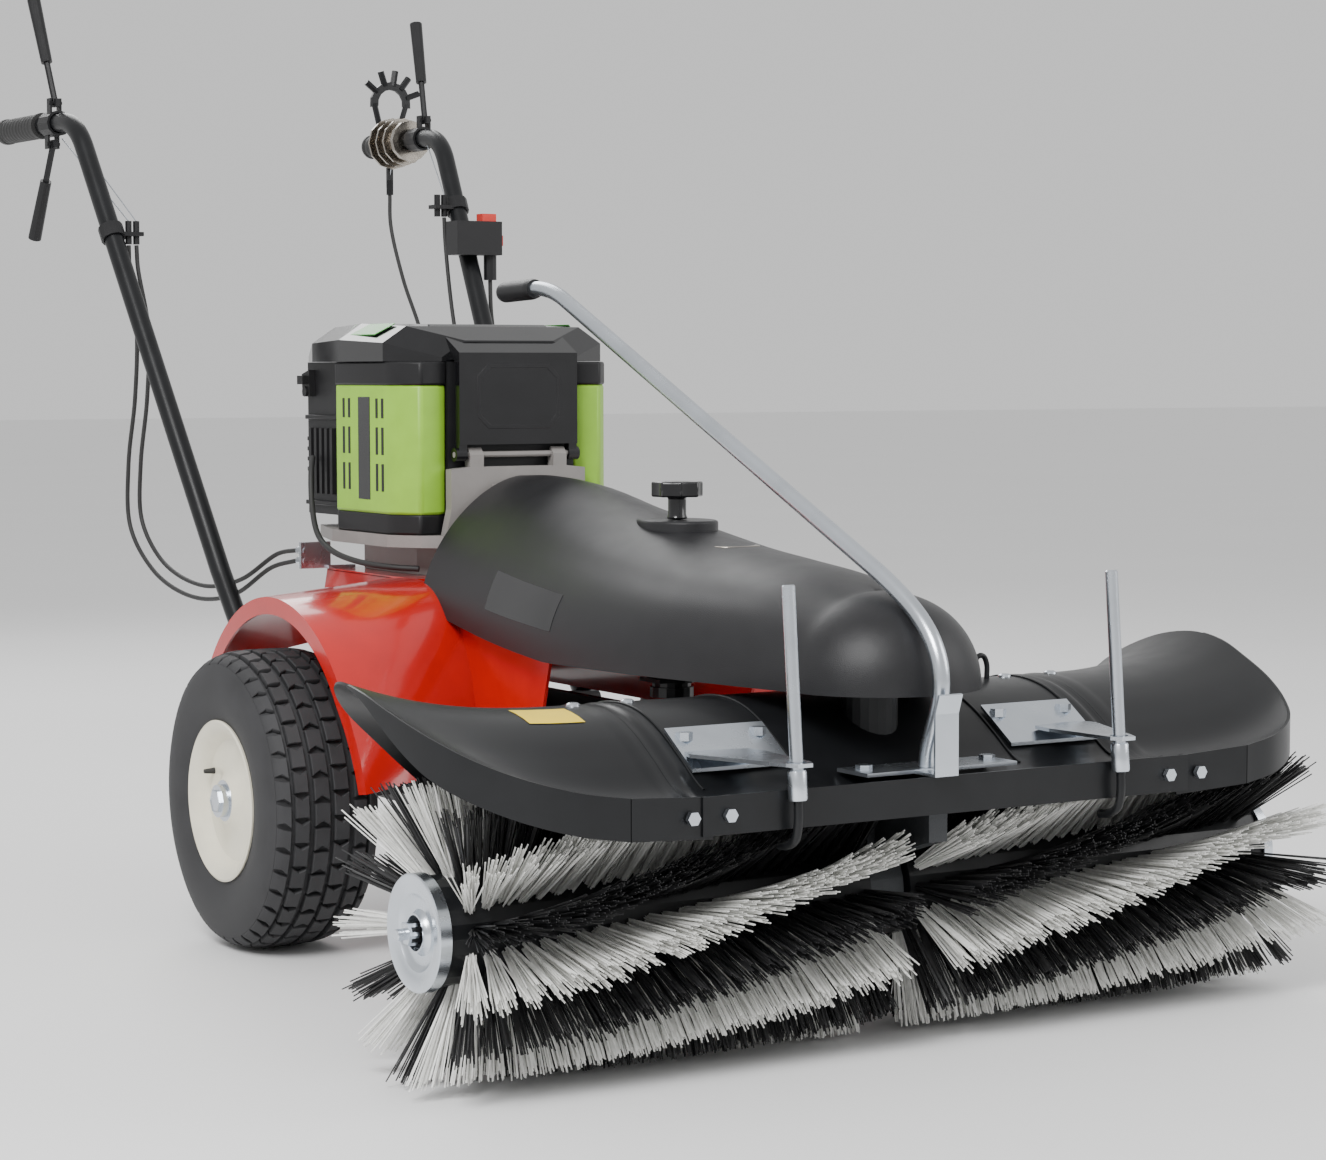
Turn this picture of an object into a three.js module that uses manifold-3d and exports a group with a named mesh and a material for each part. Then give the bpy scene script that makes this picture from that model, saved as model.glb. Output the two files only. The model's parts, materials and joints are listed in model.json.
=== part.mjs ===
// Walk behind sweeper: a two-wheeled, battery-driven machine that carries a wide rotary brush on a swivelling
// head in front. Millimetres, +Z up, +X to the side, the front faces -Y, wheels and brush stand on z = 0.
// The whole model is moved along Y at the end, so that its origin lies under the middle of its box.
import * as THREE from "three";
import { mergeVertices } from "three/addons/utils/BufferGeometryUtils.js";
import Module from "manifold-3d";

const wasm = await Module();
wasm.setup();

// ---- driving dimensions -------------------------------------------------------------------------
const GAP = 0.3; // clearance between pieces that touch
const RUN = 1.2; // running clearance round shafts
const SHEET = 3; // thickness of guards, hood and fenders

const WHEEL_RADIUS = 189;
const TYRE_WIDTH = 150;
const WHEEL_SIDE = 354; // middle plane of each tyre from the middle of the machine
const RIM_RADIUS = 94;
const FLANGE_DEPTH = 8; // from the side of the tyre in to its bead
const WEB_SIDE = 50; // outer face of the rim's web from the middle plane of the tyre
const HUB_SIDE = 64; // outer end of the rim's hub
const AXLE_RADIUS = 10;
const AXLE_Y = 845;

const BRUSH_RADIUS = 162;
const BRUSH_Y = 45;
const BRUSH_HALF = 537; // end of each brush core from the middle
const BRUSH_FLARE = 56; // how far the end tufts lean outwards
const CORE_RADIUS = 57;
const BRUSH_SHAFT_RADIUS = 12;
const GEARBOX_HALF = 22;

const SWIVEL_Y = 30; // vertical axis on which the brush head turns and its belt pulley spins
const SWIVEL_RADIUS = 31;
const GUARD_HALF = 300; // half width of the middle guard
const GUARD_TOP = 372;
const LIP_TOP = 303;
const LIP_Y = -129; // front face of the guard, against which the lip strip lies
const LIP_HEIGHT = 39;
const PIN_SIDE = 210;
const PIN_RADIUS = 7;
const PIN_HEIGHT = 218;

const HOOD_BOTTOM = 384;
const HOOD_NOSE_RADIUS = 110;
const HOOD_NOSE_Y = 15;
const KNOB_Y = 433;
const KNOB_RADIUS = 33;

const DECK_TOP = 459;
const DECK_HALF = 150;
const NOSE_FRONT_Y = 478;
const FENDER_SIDE = 350; // outer edge of each fender from the middle
const FENDER_CLEARANCE = 65; // from the tyre's crown to the fender
const BELT_Z = 440;
const BELT_HEIGHT = 9;
const MOTOR_Y = 985; // motor shaft
const MOTOR_PULLEY_RADIUS = 36;
const HEAD_PULLEY_RADIUS = 58;

const TRAY_BOTTOM = 475;
const TRAY_TOP = 514;
const MOTOR_FRONT_Y = 831;
const LID_HALF = 88;
const LID_TOP = 792;
const BATTERY_LENGTH = 215;
const BATTERY_HEIGHT = 226;
const BATTERY_DEPTH = 68;
const MOTOR_HALF = 94; // half width of the motor's core between the batteries

const TUBE_RADIUS = 14.3;
const HANDLE_HEIGHT = 1100;
const HANDLE_BEND_Y = 1648;
const HANDLE_BEND_SIDE = 303;
const GRIP_END_Y = 1921;
const LEFT_GRIP_Y = 1774; // front end of each grip
const RIGHT_GRIP_Y = 1860;
const GRIP_RADIUS = 18;
const LEVER_LENGTH = 165;

// ---- geometry helpers ---------------------------------------------------------------------------
const V = (x, y, z) => new THREE.Vector3(x, y, z);
const mix = THREE.MathUtils.lerp;
const rad = THREE.MathUtils.degToRad;

// A closed three.js geometry as a solid; faces that point inwards are turned round.
function solid(geometry) {
  const bare = (geometry.index ? geometry.toNonIndexed() : geometry.clone()).deleteAttribute("normal");
  bare.deleteAttribute("uv");
  const merged = mergeVertices(bare, 1e-3);
  const position = merged.attributes.position;
  const kept = [];
  let volume = 0;
  const [a, b, c] = [V(), V(), V()];
  for (let i = 0; i < merged.index.count; i += 3) {
    const corner = [0, 1, 2].map((k) => merged.index.getX(i + k));
    if (new Set(corner).size < 3) continue;
    [a, b, c].forEach((v, k) => v.fromBufferAttribute(position, corner[k]));
    volume += a.dot(b.cross(c));
    kept.push(corner);
  }
  const turned = volume < 0 ? kept.map(([p, q, r]) => [p, r, q]) : kept;
  const mesh = new wasm.Mesh({
    numProp: 3,
    vertProperties: new Float32Array(position.array),
    triVerts: new Uint32Array(turned.flat()),
  });
  return new wasm.Manifold(mesh);
}

const join = (...pieces) => pieces.flat().reduce((all, piece) => all.add(piece));
const cut = (body, ...tools) => tools.flat().reduce((left, tool) => left.subtract(tool), body);

function box(x0, x1, y0, y1, z0, z1) {
  const geometry = new THREE.BoxGeometry(x1 - x0, y1 - y0, z1 - z0);
  return solid(geometry.translate((x0 + x1) / 2, (y0 + y1) / 2, (z0 + z1) / 2));
}

// A round bar, or a cone, from one point to another.
function bar(from, to, radius, sides = 16, endRadius = radius) {
  const along = to.clone().sub(from);
  const geometry = new THREE.CylinderGeometry(endRadius, radius, along.length(), sides);
  geometry.translate(0, along.length() / 2, 0);
  geometry.applyQuaternion(new THREE.Quaternion().setFromUnitVectors(V(0, 1, 0), along.normalize()));
  return solid(geometry.translate(from.x, from.y, from.z));
}

const sideways = (x0, x1, y, z, radius, sides = 24) => bar(V(x0, y, z), V(x1, y, z), radius, sides);
const upright = (z0, z1, x, y, radius, sides = 24) => bar(V(x, y, z0), V(x, y, z1), radius, sides);

// A body of revolution about X from [x, radius] pairs that close on themselves or end on the axis.
function turnedAboutX(profile, y, z, sides = 32) {
  const points = profile.map(([x, r]) => new THREE.Vector2(r, x));
  const geometry = new THREE.LatheGeometry(points, sides);
  return solid(geometry.rotateZ(-Math.PI / 2).translate(0, y, z));
}

// A body of revolution about an upright axis from [radius, z] pairs.
function turnedAboutZ(profile, x, y, sides = 32) {
  const geometry = new THREE.LatheGeometry(profile.map(([r, z]) => new THREE.Vector2(r, z)), sides);
  return solid(geometry.rotateX(Math.PI / 2).translate(x, y, 0));
}

const outline = (points) => new THREE.Shape(points.map(([p, q]) => new THREE.Vector2(p, q)));

// A plate whose [y, z] outline is pushed from x0 to x1.
function plateAlongX(points, x0, x1) {
  const geometry = new THREE.ExtrudeGeometry(outline(points), { depth: x1 - x0, bevelEnabled: false });
  geometry.rotateX(Math.PI / 2).rotateZ(Math.PI / 2);
  return solid(geometry.translate(x0, 0, 0));
}

// A plate whose [x, y] outline is pushed from z0 to z1.
function plateAlongZ(points, z0, z1) {
  const geometry = new THREE.ExtrudeGeometry(outline(points), { depth: z1 - z0, bevelEnabled: false });
  return solid(geometry.translate(0, 0, z0));
}

// A plate whose [x, z] outline is pushed from y0 to y1.
function plateAlongY(points, y0, y1) {
  const geometry = new THREE.ExtrudeGeometry(outline(points), { depth: y1 - y0, bevelEnabled: false });
  return solid(geometry.rotateX(Math.PI / 2).translate(0, y1, 0));
}

const circle = (radius, sides, squash = 1) =>
  Array.from({ length: sides }, (_, i) => {
    const turn = (i / sides) * 2 * Math.PI;
    return [radius * Math.cos(turn), squash * radius * Math.sin(turn)];
  });

// A round bar bent along a smooth curve through the points.
function bentBar(points, radius, sides = 10, steps = 24) {
  const path = new THREE.CatmullRomCurve3(points, false, "centripetal");
  const section = outline(circle(radius, sides));
  return solid(new THREE.ExtrudeGeometry(section, { steps, extrudePath: path, bevelEnabled: false }));
}

// A closed skin between two surfaces, each given as a function of two numbers from 0 to 1.
function skin(outer, inner, across, along) {
  const faces = [];
  const at = (f, i, j) => f(i / across, j / along);
  const quad = (a, b, c, d) => faces.push(a, b, c, a, c, d);
  for (let i = 0; i < across; i++)
    for (let j = 0; j < along; j++) {
      quad(at(outer, i, j), at(outer, i + 1, j), at(outer, i + 1, j + 1), at(outer, i, j + 1));
      quad(at(inner, i, j), at(inner, i, j + 1), at(inner, i + 1, j + 1), at(inner, i + 1, j));
    }
  for (let i = 0; i < across; i++)
    for (const [j, order] of [[0, 1], [along, -1]]) {
      const rim = [at(outer, i, j), at(inner, i, j), at(inner, i + 1, j), at(outer, i + 1, j)];
      quad(...(order > 0 ? rim : rim.reverse()));
    }
  for (let j = 0; j < along; j++)
    for (const [i, order] of [[0, -1], [across, 1]]) {
      const rim = [at(outer, i, j), at(inner, i, j), at(inner, i, j + 1), at(outer, i, j + 1)];
      quad(...(order > 0 ? rim : rim.reverse()));
    }
  return solid(new THREE.BufferGeometry().setFromPoints(faces));
}

// The same surface moved inwards along its own normal.
function inset(surface, depth) {
  const step = 1e-3;
  return (u, v) => {
    const du = surface(Math.min(u + step, 1), v).sub(surface(Math.max(u - step, 0), v));
    const dv = surface(u, Math.min(v + step, 1)).sub(surface(u, Math.max(v - step, 0)));
    return surface(u, v).addScaledVector(du.cross(dv).normalize(), depth);
  };
}

// Mirrored in the middle plane of the machine.
function mirrored(body) {
  return body.mirror([1, 0, 0]);
}

// Heights or widths between given stations, joined by a smooth curve.
function smooth(stations) {
  return (at) => {
    const last = stations.length - 1;
    if (at <= stations[0][0]) return stations[0][1];
    if (at >= stations[last][0]) return stations[last][1];
    const i = stations.findIndex(([position]) => position > at) - 1;
    const slope = (k) => {
      const [low, high] = [Math.max(k - 1, 0), Math.min(k + 1, last)];
      return (stations[high][1] - stations[low][1]) / (stations[high][0] - stations[low][0]);
    };
    const [p, q] = [stations[i], stations[i + 1]];
    const span = q[0] - p[0];
    const t = (at - p[0]) / span;
    return (
      (2 * t ** 3 - 3 * t ** 2 + 1) * p[1] +
      (t ** 3 - 2 * t ** 2 + t) * span * slope(i) +
      (3 * t ** 2 - 2 * t ** 3) * q[1] +
      (t ** 3 - t ** 2) * span * slope(i + 1)
    );
  };
}

// ---- materials ----------------------------------------------------------------------------------
const paint = (color, roughness, metalness) => new THREE.MeshStandardMaterial({ color, roughness, metalness });
const LOOKS = {
  red: paint(0xc81712, 0.28, 0.1),
  zinc: paint(0xc9ccd0, 0.32, 1),
  steel: paint(0x8d9094, 0.4, 1),
  black: paint(0x17181a, 0.42, 0.2),
  plastic: paint(0x222325, 0.55, 0),
  gloss: paint(0x0e0f11, 0.2, 0),
  rubber: paint(0x151515, 0.85, 0),
  cream: paint(0xe8e2d0, 0.35, 0.1),
  grey: paint(0x6d6b69, 0.55, 0),
  green: paint(0x86c232, 0.45, 0),
  scarlet: paint(0xd32018, 0.4, 0),
  bristle: paint(0x3c3c3c, 0.8, 0),
  nickel: paint(0xb5ada0, 0.3, 1),
  casting: paint(0x2b2d30, 0.5, 0.8),
};

const machine = new THREE.Group();

function add(name, look, body) {
  const mesh = body.getMesh();
  const geometry = new THREE.BufferGeometry();
  geometry.setAttribute("position", new THREE.BufferAttribute(new Float32Array(mesh.vertProperties), 3));
  geometry.setIndex(new THREE.BufferAttribute(new Uint32Array(mesh.triVerts), 1));
  const piece = new THREE.Mesh(geometry, LOOKS[look]);
  piece.name = name;
  machine.add(piece);
}

const bothSides = (name, look, right) => {
  add(name + "_right", look, right);
  add(name + "_left", look, mirrored(right));
};

const WHEEL_SIDES = 24;

// ---- wheels -------------------------------------------------------------------------------------
function tyre() {
  const half = TYRE_WIDTH / 2;
  const bead = half - FLANGE_DEPTH;
  const side = [
    [bead, RIM_RADIUS + GAP],
    [bead, RIM_RADIUS + 11],
    [half, mix(RIM_RADIUS, WHEEL_RADIUS, 0.42)],
    [half - 3, mix(RIM_RADIUS, WHEEL_RADIUS, 0.78)],
    [half - 14, WHEEL_RADIUS - 8],
    [half - 36, WHEEL_RADIUS],
  ];
  const other = side.slice().reverse().map(([x, r]) => [-x, r]);
  const loop = [...side, ...other, side[0]].map(([x, r]) => [x + WHEEL_SIDE, r]);
  return turnedAboutX(loop, AXLE_Y, WHEEL_RADIUS, WHEEL_SIDES);
}

function rim() {
  const flange = TYRE_WIDTH / 2 - FLANGE_DEPTH;
  const hub = AXLE_RADIUS + RUN;
  const loop = [
    [-flange - 4, RIM_RADIUS + 7],
    [-flange - GAP, RIM_RADIUS + 8],
    [-flange - GAP, RIM_RADIUS],
    [flange + GAP, RIM_RADIUS],
    [flange + GAP, RIM_RADIUS + 8],
    [flange + 4, RIM_RADIUS + 7],
    [flange - 2, RIM_RADIUS - 7],
    [WEB_SIDE, RIM_RADIUS - 15],
    [WEB_SIDE, 34],
    [HUB_SIDE, 27],
    [HUB_SIDE, hub],
    [-WEB_SIDE, hub],
    [-WEB_SIDE, 24],
    [WEB_SIDE - 8, 30],
    [WEB_SIDE - 8, RIM_RADIUS - 6],
    [-flange + 2, RIM_RADIUS - 6],
    [-flange - 4, RIM_RADIUS + 7],
  ];
  return turnedAboutX(loop.map(([x, r]) => [x + WHEEL_SIDE, r]), AXLE_Y, WHEEL_RADIUS, WHEEL_SIDES);
}

// ---- chassis ------------------------------------------------------------------------------------
// The gear housing between the rails, with the axle that carries both wheels and its end nuts.
function transaxle() {
  const hubEnd = WHEEL_SIDE + HUB_SIDE + GAP;
  const housing = plateAlongX(
    circle(78, 10).map(([y, z]) => [y + AXLE_Y, z + WHEEL_RADIUS]),
    -86,
    86,
  );
  const arms = sideways(-150, 150, AXLE_Y, WHEEL_RADIUS, 26, 12);
  const shaft = sideways(-hubEnd - 11, hubEnd + 11, AXLE_Y, WHEEL_RADIUS, AXLE_RADIUS, 12);
  const nuts = [-1, 1].map((side) =>
    sideways(side * hubEnd, side * (hubEnd + 8), AXLE_Y, WHEEL_RADIUS, 20, 8),
  );
  return join(housing, arms, shaft, nuts);
}

// Middle of the cross tube at the rear of the frame, on which the feet of the handles stand.
const CROSS_Y = 1084;
const CROSS_Z = 256;

function chassisFrame() {
  const [front, rear] = [590, CROSS_Y + 6];
  const rail = (side) =>
    box(Math.min(side * 110, side * 116), Math.max(side * 110, side * 116), front, rear, 150, 286);
  const bars = [front, rear - 12].map((y) => box(-116, 116, y, y + 12, 168, 286));
  const posts = [-1, 1].map((side) =>
    box(Math.min(side * 104, side * 116), Math.max(side * 104, side * 116), front, rear, 280, 292),
  );
  const cross = sideways(-262, 262, rear - 6, CROSS_Z, TUBE_RADIUS, 14);
  const bore = sideways(-200, 200, AXLE_Y, WHEEL_RADIUS, 26 + GAP, 12);
  return cut(join(rail(1), rail(-1), bars, posts, cross), bore);
}

// Fender surface: u runs from the rolled lip over the edge and in to the deck, v from the rear to the front.
function fenderSurface(u, v) {
  const radius = WHEEL_RADIUS + FENDER_CLEARANCE;
  const lip = u < 0.15 ? 1 - u / 0.15 : 0;
  const inward = u < 0.15 ? 0 : (u - 0.15) / 0.85;
  const turn = mix(rad(36), rad(172), v);
  const square = mix(2, 2.5, inward);
  const power = (value) => Math.sign(value) * Math.abs(value) ** (2 / square);
  const rise = mix(radius, DECK_TOP - WHEEL_RADIUS, inward);
  const back = Math.cos(turn) > 0 ? mix(radius, radius + 50, inward) : mix(radius, radius - 70, inward ** 1.5);
  const shrink = 1 - (lip * 22) / radius;
  const sweep = v > 0.8 ? ((v - 0.8) / 0.2) * 22 * (1 - inward) : 0;
  return V(
    mix(FENDER_SIDE, DECK_HALF, inward),
    AXLE_Y + back * power(Math.cos(turn)) * shrink - sweep,
    WHEEL_RADIUS + rise * power(Math.sin(turn)) * shrink,
  );
}

// The red body: both fenders, the deck, the rear apron and the open-ended nose below the hood.
function bodyShell() {
  const wall = (x0, x1) =>
    plateAlongX(
      [
        [NOSE_FRONT_Y, HOOD_BOTTOM + 2],
        [NOSE_FRONT_Y + 28, 293],
        [AXLE_Y + 270, 293],
        [AXLE_Y + 290, 380],
        [AXLE_Y + 262, DECK_TOP - 2],
        [AXLE_Y - 12, DECK_TOP - 2],
      ],
      x0,
      x1,
    );
  const fender = skin(fenderSurface, inset(fenderSurface, -SHEET), 5, 13);
  const inner = DECK_HALF - SHEET;
  const deck = box(-DECK_HALF - 1, DECK_HALF + 1, AXLE_Y - 15, AXLE_Y + 262, DECK_TOP - SHEET, DECK_TOP);
  const floor = box(-DECK_HALF + 1, DECK_HALF - 1, NOSE_FRONT_Y + 8, 720, 384, 387.7);
  const apron = box(-DECK_HALF + 1, DECK_HALF - 1, AXLE_Y + 255, AXLE_Y + 258, 300, DECK_TOP - 1);
  const shaftHole = upright(DECK_TOP - 9, DECK_TOP + 9, 0, MOTOR_Y, 22);
  const shell = join(fender, mirrored(fender), wall(inner, DECK_HALF + 1), wall(-DECK_HALF - 1, -inner));
  const hoodSkin = skin(hoodSurface(-2, 4), hoodSurface(SHEET + 2, 4), HOOD_ACROSS, HOOD_ALONG);
  return cut(join(shell, deck, floor, apron), shaftHole, hoodSkin);
}

const BEARING_BOTTOM = 2 * BRUSH_RADIUS + 3;

// The arm that carries the brush head, with the head's bearing, the bolted hub below and the stud of the hood.
function boom() {
  const [low, high] = [388, 400];
  const arm = box(-45, 45, SWIVEL_Y, 715, low, high);
  const ring = upright(low, high, 0, SWIVEL_Y, 56, 20);
  const bearing = upright(BEARING_BOTTOM, low + 2, 0, SWIVEL_Y, SWIVEL_RADIUS, 20);
  const hubY = 446;
  const hub = [
    upright(370, low + 2, 0, hubY, 18, 12),
    upright(352, 372, 0, hubY, 30, 16),
    upright(345, 353, 0, hubY, 24, 16),
    upright(334, 346, 0, hubY, 27, 16),
  ];
  const lugs = box(-34, 34, hubY - 28, hubY + 20, 353, 358);
  const stud = upright(high - 2, hoodRidge(KNOB_Y) + 12, 0, KNOB_Y, 5, 12);
  const bore = upright(300, 420, 0, SWIVEL_Y, 10 + RUN, 16);
  return cut(join(arm, ring, bearing, hub, lugs, stud), bore);
}

// ---- hood ---------------------------------------------------------------------------------------
const HOOD_REAR = 800;
const hoodHalfWidth = smooth([
  [HOOD_NOSE_Y, HOOD_NOSE_RADIUS],
  [120, 131],
  [270, 160],
  [430, 174],
  [600, 169],
  [HOOD_REAR, 158],
]);
const hoodRidge = smooth([
  [HOOD_NOSE_Y, 486],
  [100, 503],
  [200, 513],
  [300, 523],
  [400, 538],
  [550, 564],
  [640, 582],
  [740, 590],
  [826, 588],
]);
const hoodEdge = smooth([[450, HOOD_BOTTOM], [600, HOOD_BOTTOM + 14], [800, HOOD_BOTTOM + 42]]);

// Hood surface: u runs along its lower edge from the right rear round the nose to the left rear, v up to the ridge.
function hoodSurface(thickness, spread = 0) {
  return (u, v) => {
    const rear = HOOD_REAR + spread;
    const side = 0.36;
    const climb = v * (Math.PI / 2);
    const onNose = u > side && u < 1 - side;
    const reach = Math.min(u, 1 - u) / side;
    const y = onNose ? HOOD_NOSE_Y : mix(rear, HOOD_NOSE_Y, reach);
    const turn = onNose ? ((u - side) / (1 - 2 * side)) * Math.PI : u < 0.5 ? 0 : Math.PI;
    const width = hoodHalfWidth(y) - thickness;
    const square = mix(2.15, 1.62, THREE.MathUtils.clamp((y - 100) / 600, 0, 1));
    const out = width * Math.cos(climb) ** (2 / square);
    const low = hoodEdge(y) - spread;
    const lean = ((y - HOOD_NOSE_Y) / (HOOD_REAR - HOOD_NOSE_Y)) * v * 26;
    const top = hoodRidge(y + lean) - thickness;
    return V(
      out * Math.cos(turn),
      y + lean - (onNose ? out * Math.sin(turn) : 0),
      mix(low, top, Math.sin(climb) ** (2 / square)),
    );
  };
}

const HOOD_ACROSS = 20;
const HOOD_ALONG = 5;
const KNOB_BASE = hoodRidge(KNOB_Y + 30) + 1; // upper face of the seat of the knob

function hood() {
  const shell = skin(hoodSurface(0), hoodSurface(SHEET), HOOD_ACROSS, HOOD_ALONG);
  const seat = upright(hoodRidge(KNOB_Y) - 12, KNOB_BASE - GAP, 0, KNOB_Y, 30, 20);
  const hole = upright(HOOD_BOTTOM, 640, 0, KNOB_Y, 5 + RUN, 12);
  return cut(join(shell, seat), hole);
}

function hoodKnob() {
  const base = KNOB_BASE;
  const stem = upright(base, base + 28, 0, KNOB_Y, 11, 12);
  const lobes = circle(KNOB_RADIUS - 7, 8).map(([x, y]) => upright(base + 26, base + 44, x, KNOB_Y + y, 7, 6));
  const head = upright(base + 26, base + 46, 0, KNOB_Y, KNOB_RADIUS - 5, 12);
  const thread = upright(base - 1, base + 14, 0, KNOB_Y, 5 + GAP, 12);
  return cut(join(stem, head, lobes), thread);
}

// ---- belt drive ---------------------------------------------------------------------------------
const beltZ = [BELT_Z - BELT_HEIGHT / 2, BELT_Z + BELT_HEIGHT / 2];

function pulley(y, radius) {
  const [low, high] = beltZ;
  return turnedAboutZ(
    [[0, low - 2], [radius + 5, low - 2], [radius + 5, low - 0.6], [radius, low - 0.3], [radius, high + 0.3],
      [radius + 5, high + 0.6], [radius + 5, high + 2], [0, high + 2]],
    0,
    y,
    20,
  );
}

function motorPulley() {
  return join(pulley(MOTOR_Y, MOTOR_PULLEY_RADIUS), upright(beltZ[1], TRAY_BOTTOM, 0, MOTOR_Y, SHAFT_RADIUS, 16));
}

// The head's pulley and the drive shaft below it, through the boom's bearing down to the gear housing.
function headPulley() {
  return join(pulley(SWIVEL_Y, HEAD_PULLEY_RADIUS), upright(BEARING_BOTTOM + GAP, beltZ[0], 0, SWIVEL_Y, 10, 16));
}

function belt() {
  const loop = (grow) => {
    const points = [];
    const [front, rear] = [HEAD_PULLEY_RADIUS, MOTOR_PULLEY_RADIUS].map((radius) => radius + 2 * GAP + grow);
    const lean = Math.asin((front - rear) / (MOTOR_Y - SWIVEL_Y));
    for (let i = 0; i <= 14; i++) {
      const turn = mix(Math.PI - lean, 2 * Math.PI + lean, i / 14);
      points.push([front * Math.cos(turn), SWIVEL_Y + front * Math.sin(turn)]);
    }
    for (let i = 0; i <= 12; i++) {
      const turn = mix(lean, Math.PI - lean, i / 12);
      points.push([rear * Math.cos(turn), MOTOR_Y + rear * Math.sin(turn)]);
    }
    return points;
  };
  return cut(plateAlongZ(loop(4), ...beltZ), plateAlongZ(loop(0), beltZ[0] - 1, beltZ[1] + 1));
}

// ---- battery motor ------------------------------------------------------------------------------
const HINGE_Y = MOTOR_FRONT_Y + 9;
const HINGE_Z = 619;
const REAR_Y = 1215;
const BATTERY_TOP = TRAY_TOP + GAP + BATTERY_HEIGHT;
const HINGE_PIN_RADIUS = 4;
const SHAFT_RADIUS = 14;
const BATTERY_FRONT = MOTOR_FRONT_Y + 19;
const BATTERY_REAR = BATTERY_FRONT + BATTERY_LENGTH;

// The grey cradle: a tray on a foot, with a front plate that carries the hinge pin of the lid.
function motorBase() {
  const half = MOTOR_HALF + GAP + BATTERY_DEPTH;
  const tray = plateAlongZ(
    [[-112, MOTOR_FRONT_Y + 1], [112, MOTOR_FRONT_Y + 1], [half - 28, BATTERY_FRONT], [half, BATTERY_FRONT + 45],
      [half, BATTERY_REAR], [120, REAR_Y - 20], [-120, REAR_Y - 20], [-half, BATTERY_REAR], [-half, BATTERY_FRONT + 45],
      [28 - half, BATTERY_FRONT]],
    TRAY_TOP - 16,
    TRAY_TOP,
  );
  const foot = plateAlongZ(
    [[-84, 870], [84, 870], [112, 910], [112, 1070], [84, 1100], [-84, 1100], [-112, 1070], [-112, 910]],
    DECK_TOP + GAP,
    TRAY_TOP - 15,
  );
  const plate = plateAlongY(
    [[-100, 600], [-100, 548], [-108, TRAY_TOP - 1], [108, TRAY_TOP - 1], [100, 548], [100, 600], [72, HINGE_Z - 16],
      [-72, HINGE_Z - 16]],
    MOTOR_FRONT_Y + 1,
    MOTOR_FRONT_Y + 17,
  );
  const lugs = [-62, 62].map((x) =>
    plateAlongX(
      [[HINGE_Y - 7, HINGE_Z - 30], [HINGE_Y + 7, HINGE_Z - 30], [HINGE_Y + 8, HINGE_Z], [HINGE_Y, HINGE_Z + 9],
        [HINGE_Y - 8, HINGE_Z]],
      x - 10,
      x + 10,
    ),
  );
  const pin = sideways(-92, 92, HINGE_Y, HINGE_Z, HINGE_PIN_RADIUS, 10);
  const shaft = upright(DECK_TOP - 1, TRAY_TOP - 4, 0, MOTOR_Y, SHAFT_RADIUS + RUN, 16);
  return cut(join(tray, foot, plate, lugs, pin), shaft);
}

// The dark housing between and behind the batteries.
function motorHousing() {
  const core = box(-MOTOR_HALF, MOTOR_HALF, MOTOR_FRONT_Y + 22, BATTERY_REAR + 6, TRAY_TOP + GAP, BATTERY_TOP);
  const rear = plateAlongZ(
    [[-144, BATTERY_REAR + GAP], [144, BATTERY_REAR + GAP], [144, REAR_Y - 35], [116, REAR_Y], [-116, REAR_Y],
      [-144, REAR_Y - 35]],
    TRAY_TOP + 18,
    BATTERY_TOP,
  );
  const ribs = [0, 1, 2, 3, 4].map((i) => box(-150, 150, 1090 + i * 17, 1098 + i * 17, 560, 650));
  return join(core, rear, ribs);
}

function battery() {
  const inner = MOTOR_HALF + GAP;
  const outer = inner + BATTERY_DEPTH;
  return plateAlongZ(
    [[inner, BATTERY_FRONT + 6], [inner + 14, BATTERY_FRONT], [outer - 28, BATTERY_FRONT], [outer, BATTERY_FRONT + 45],
      [outer, BATTERY_REAR - 12], [outer - 12, BATTERY_REAR], [inner, BATTERY_REAR]],
    TRAY_TOP + GAP,
    BATTERY_TOP,
  );
}

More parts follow.
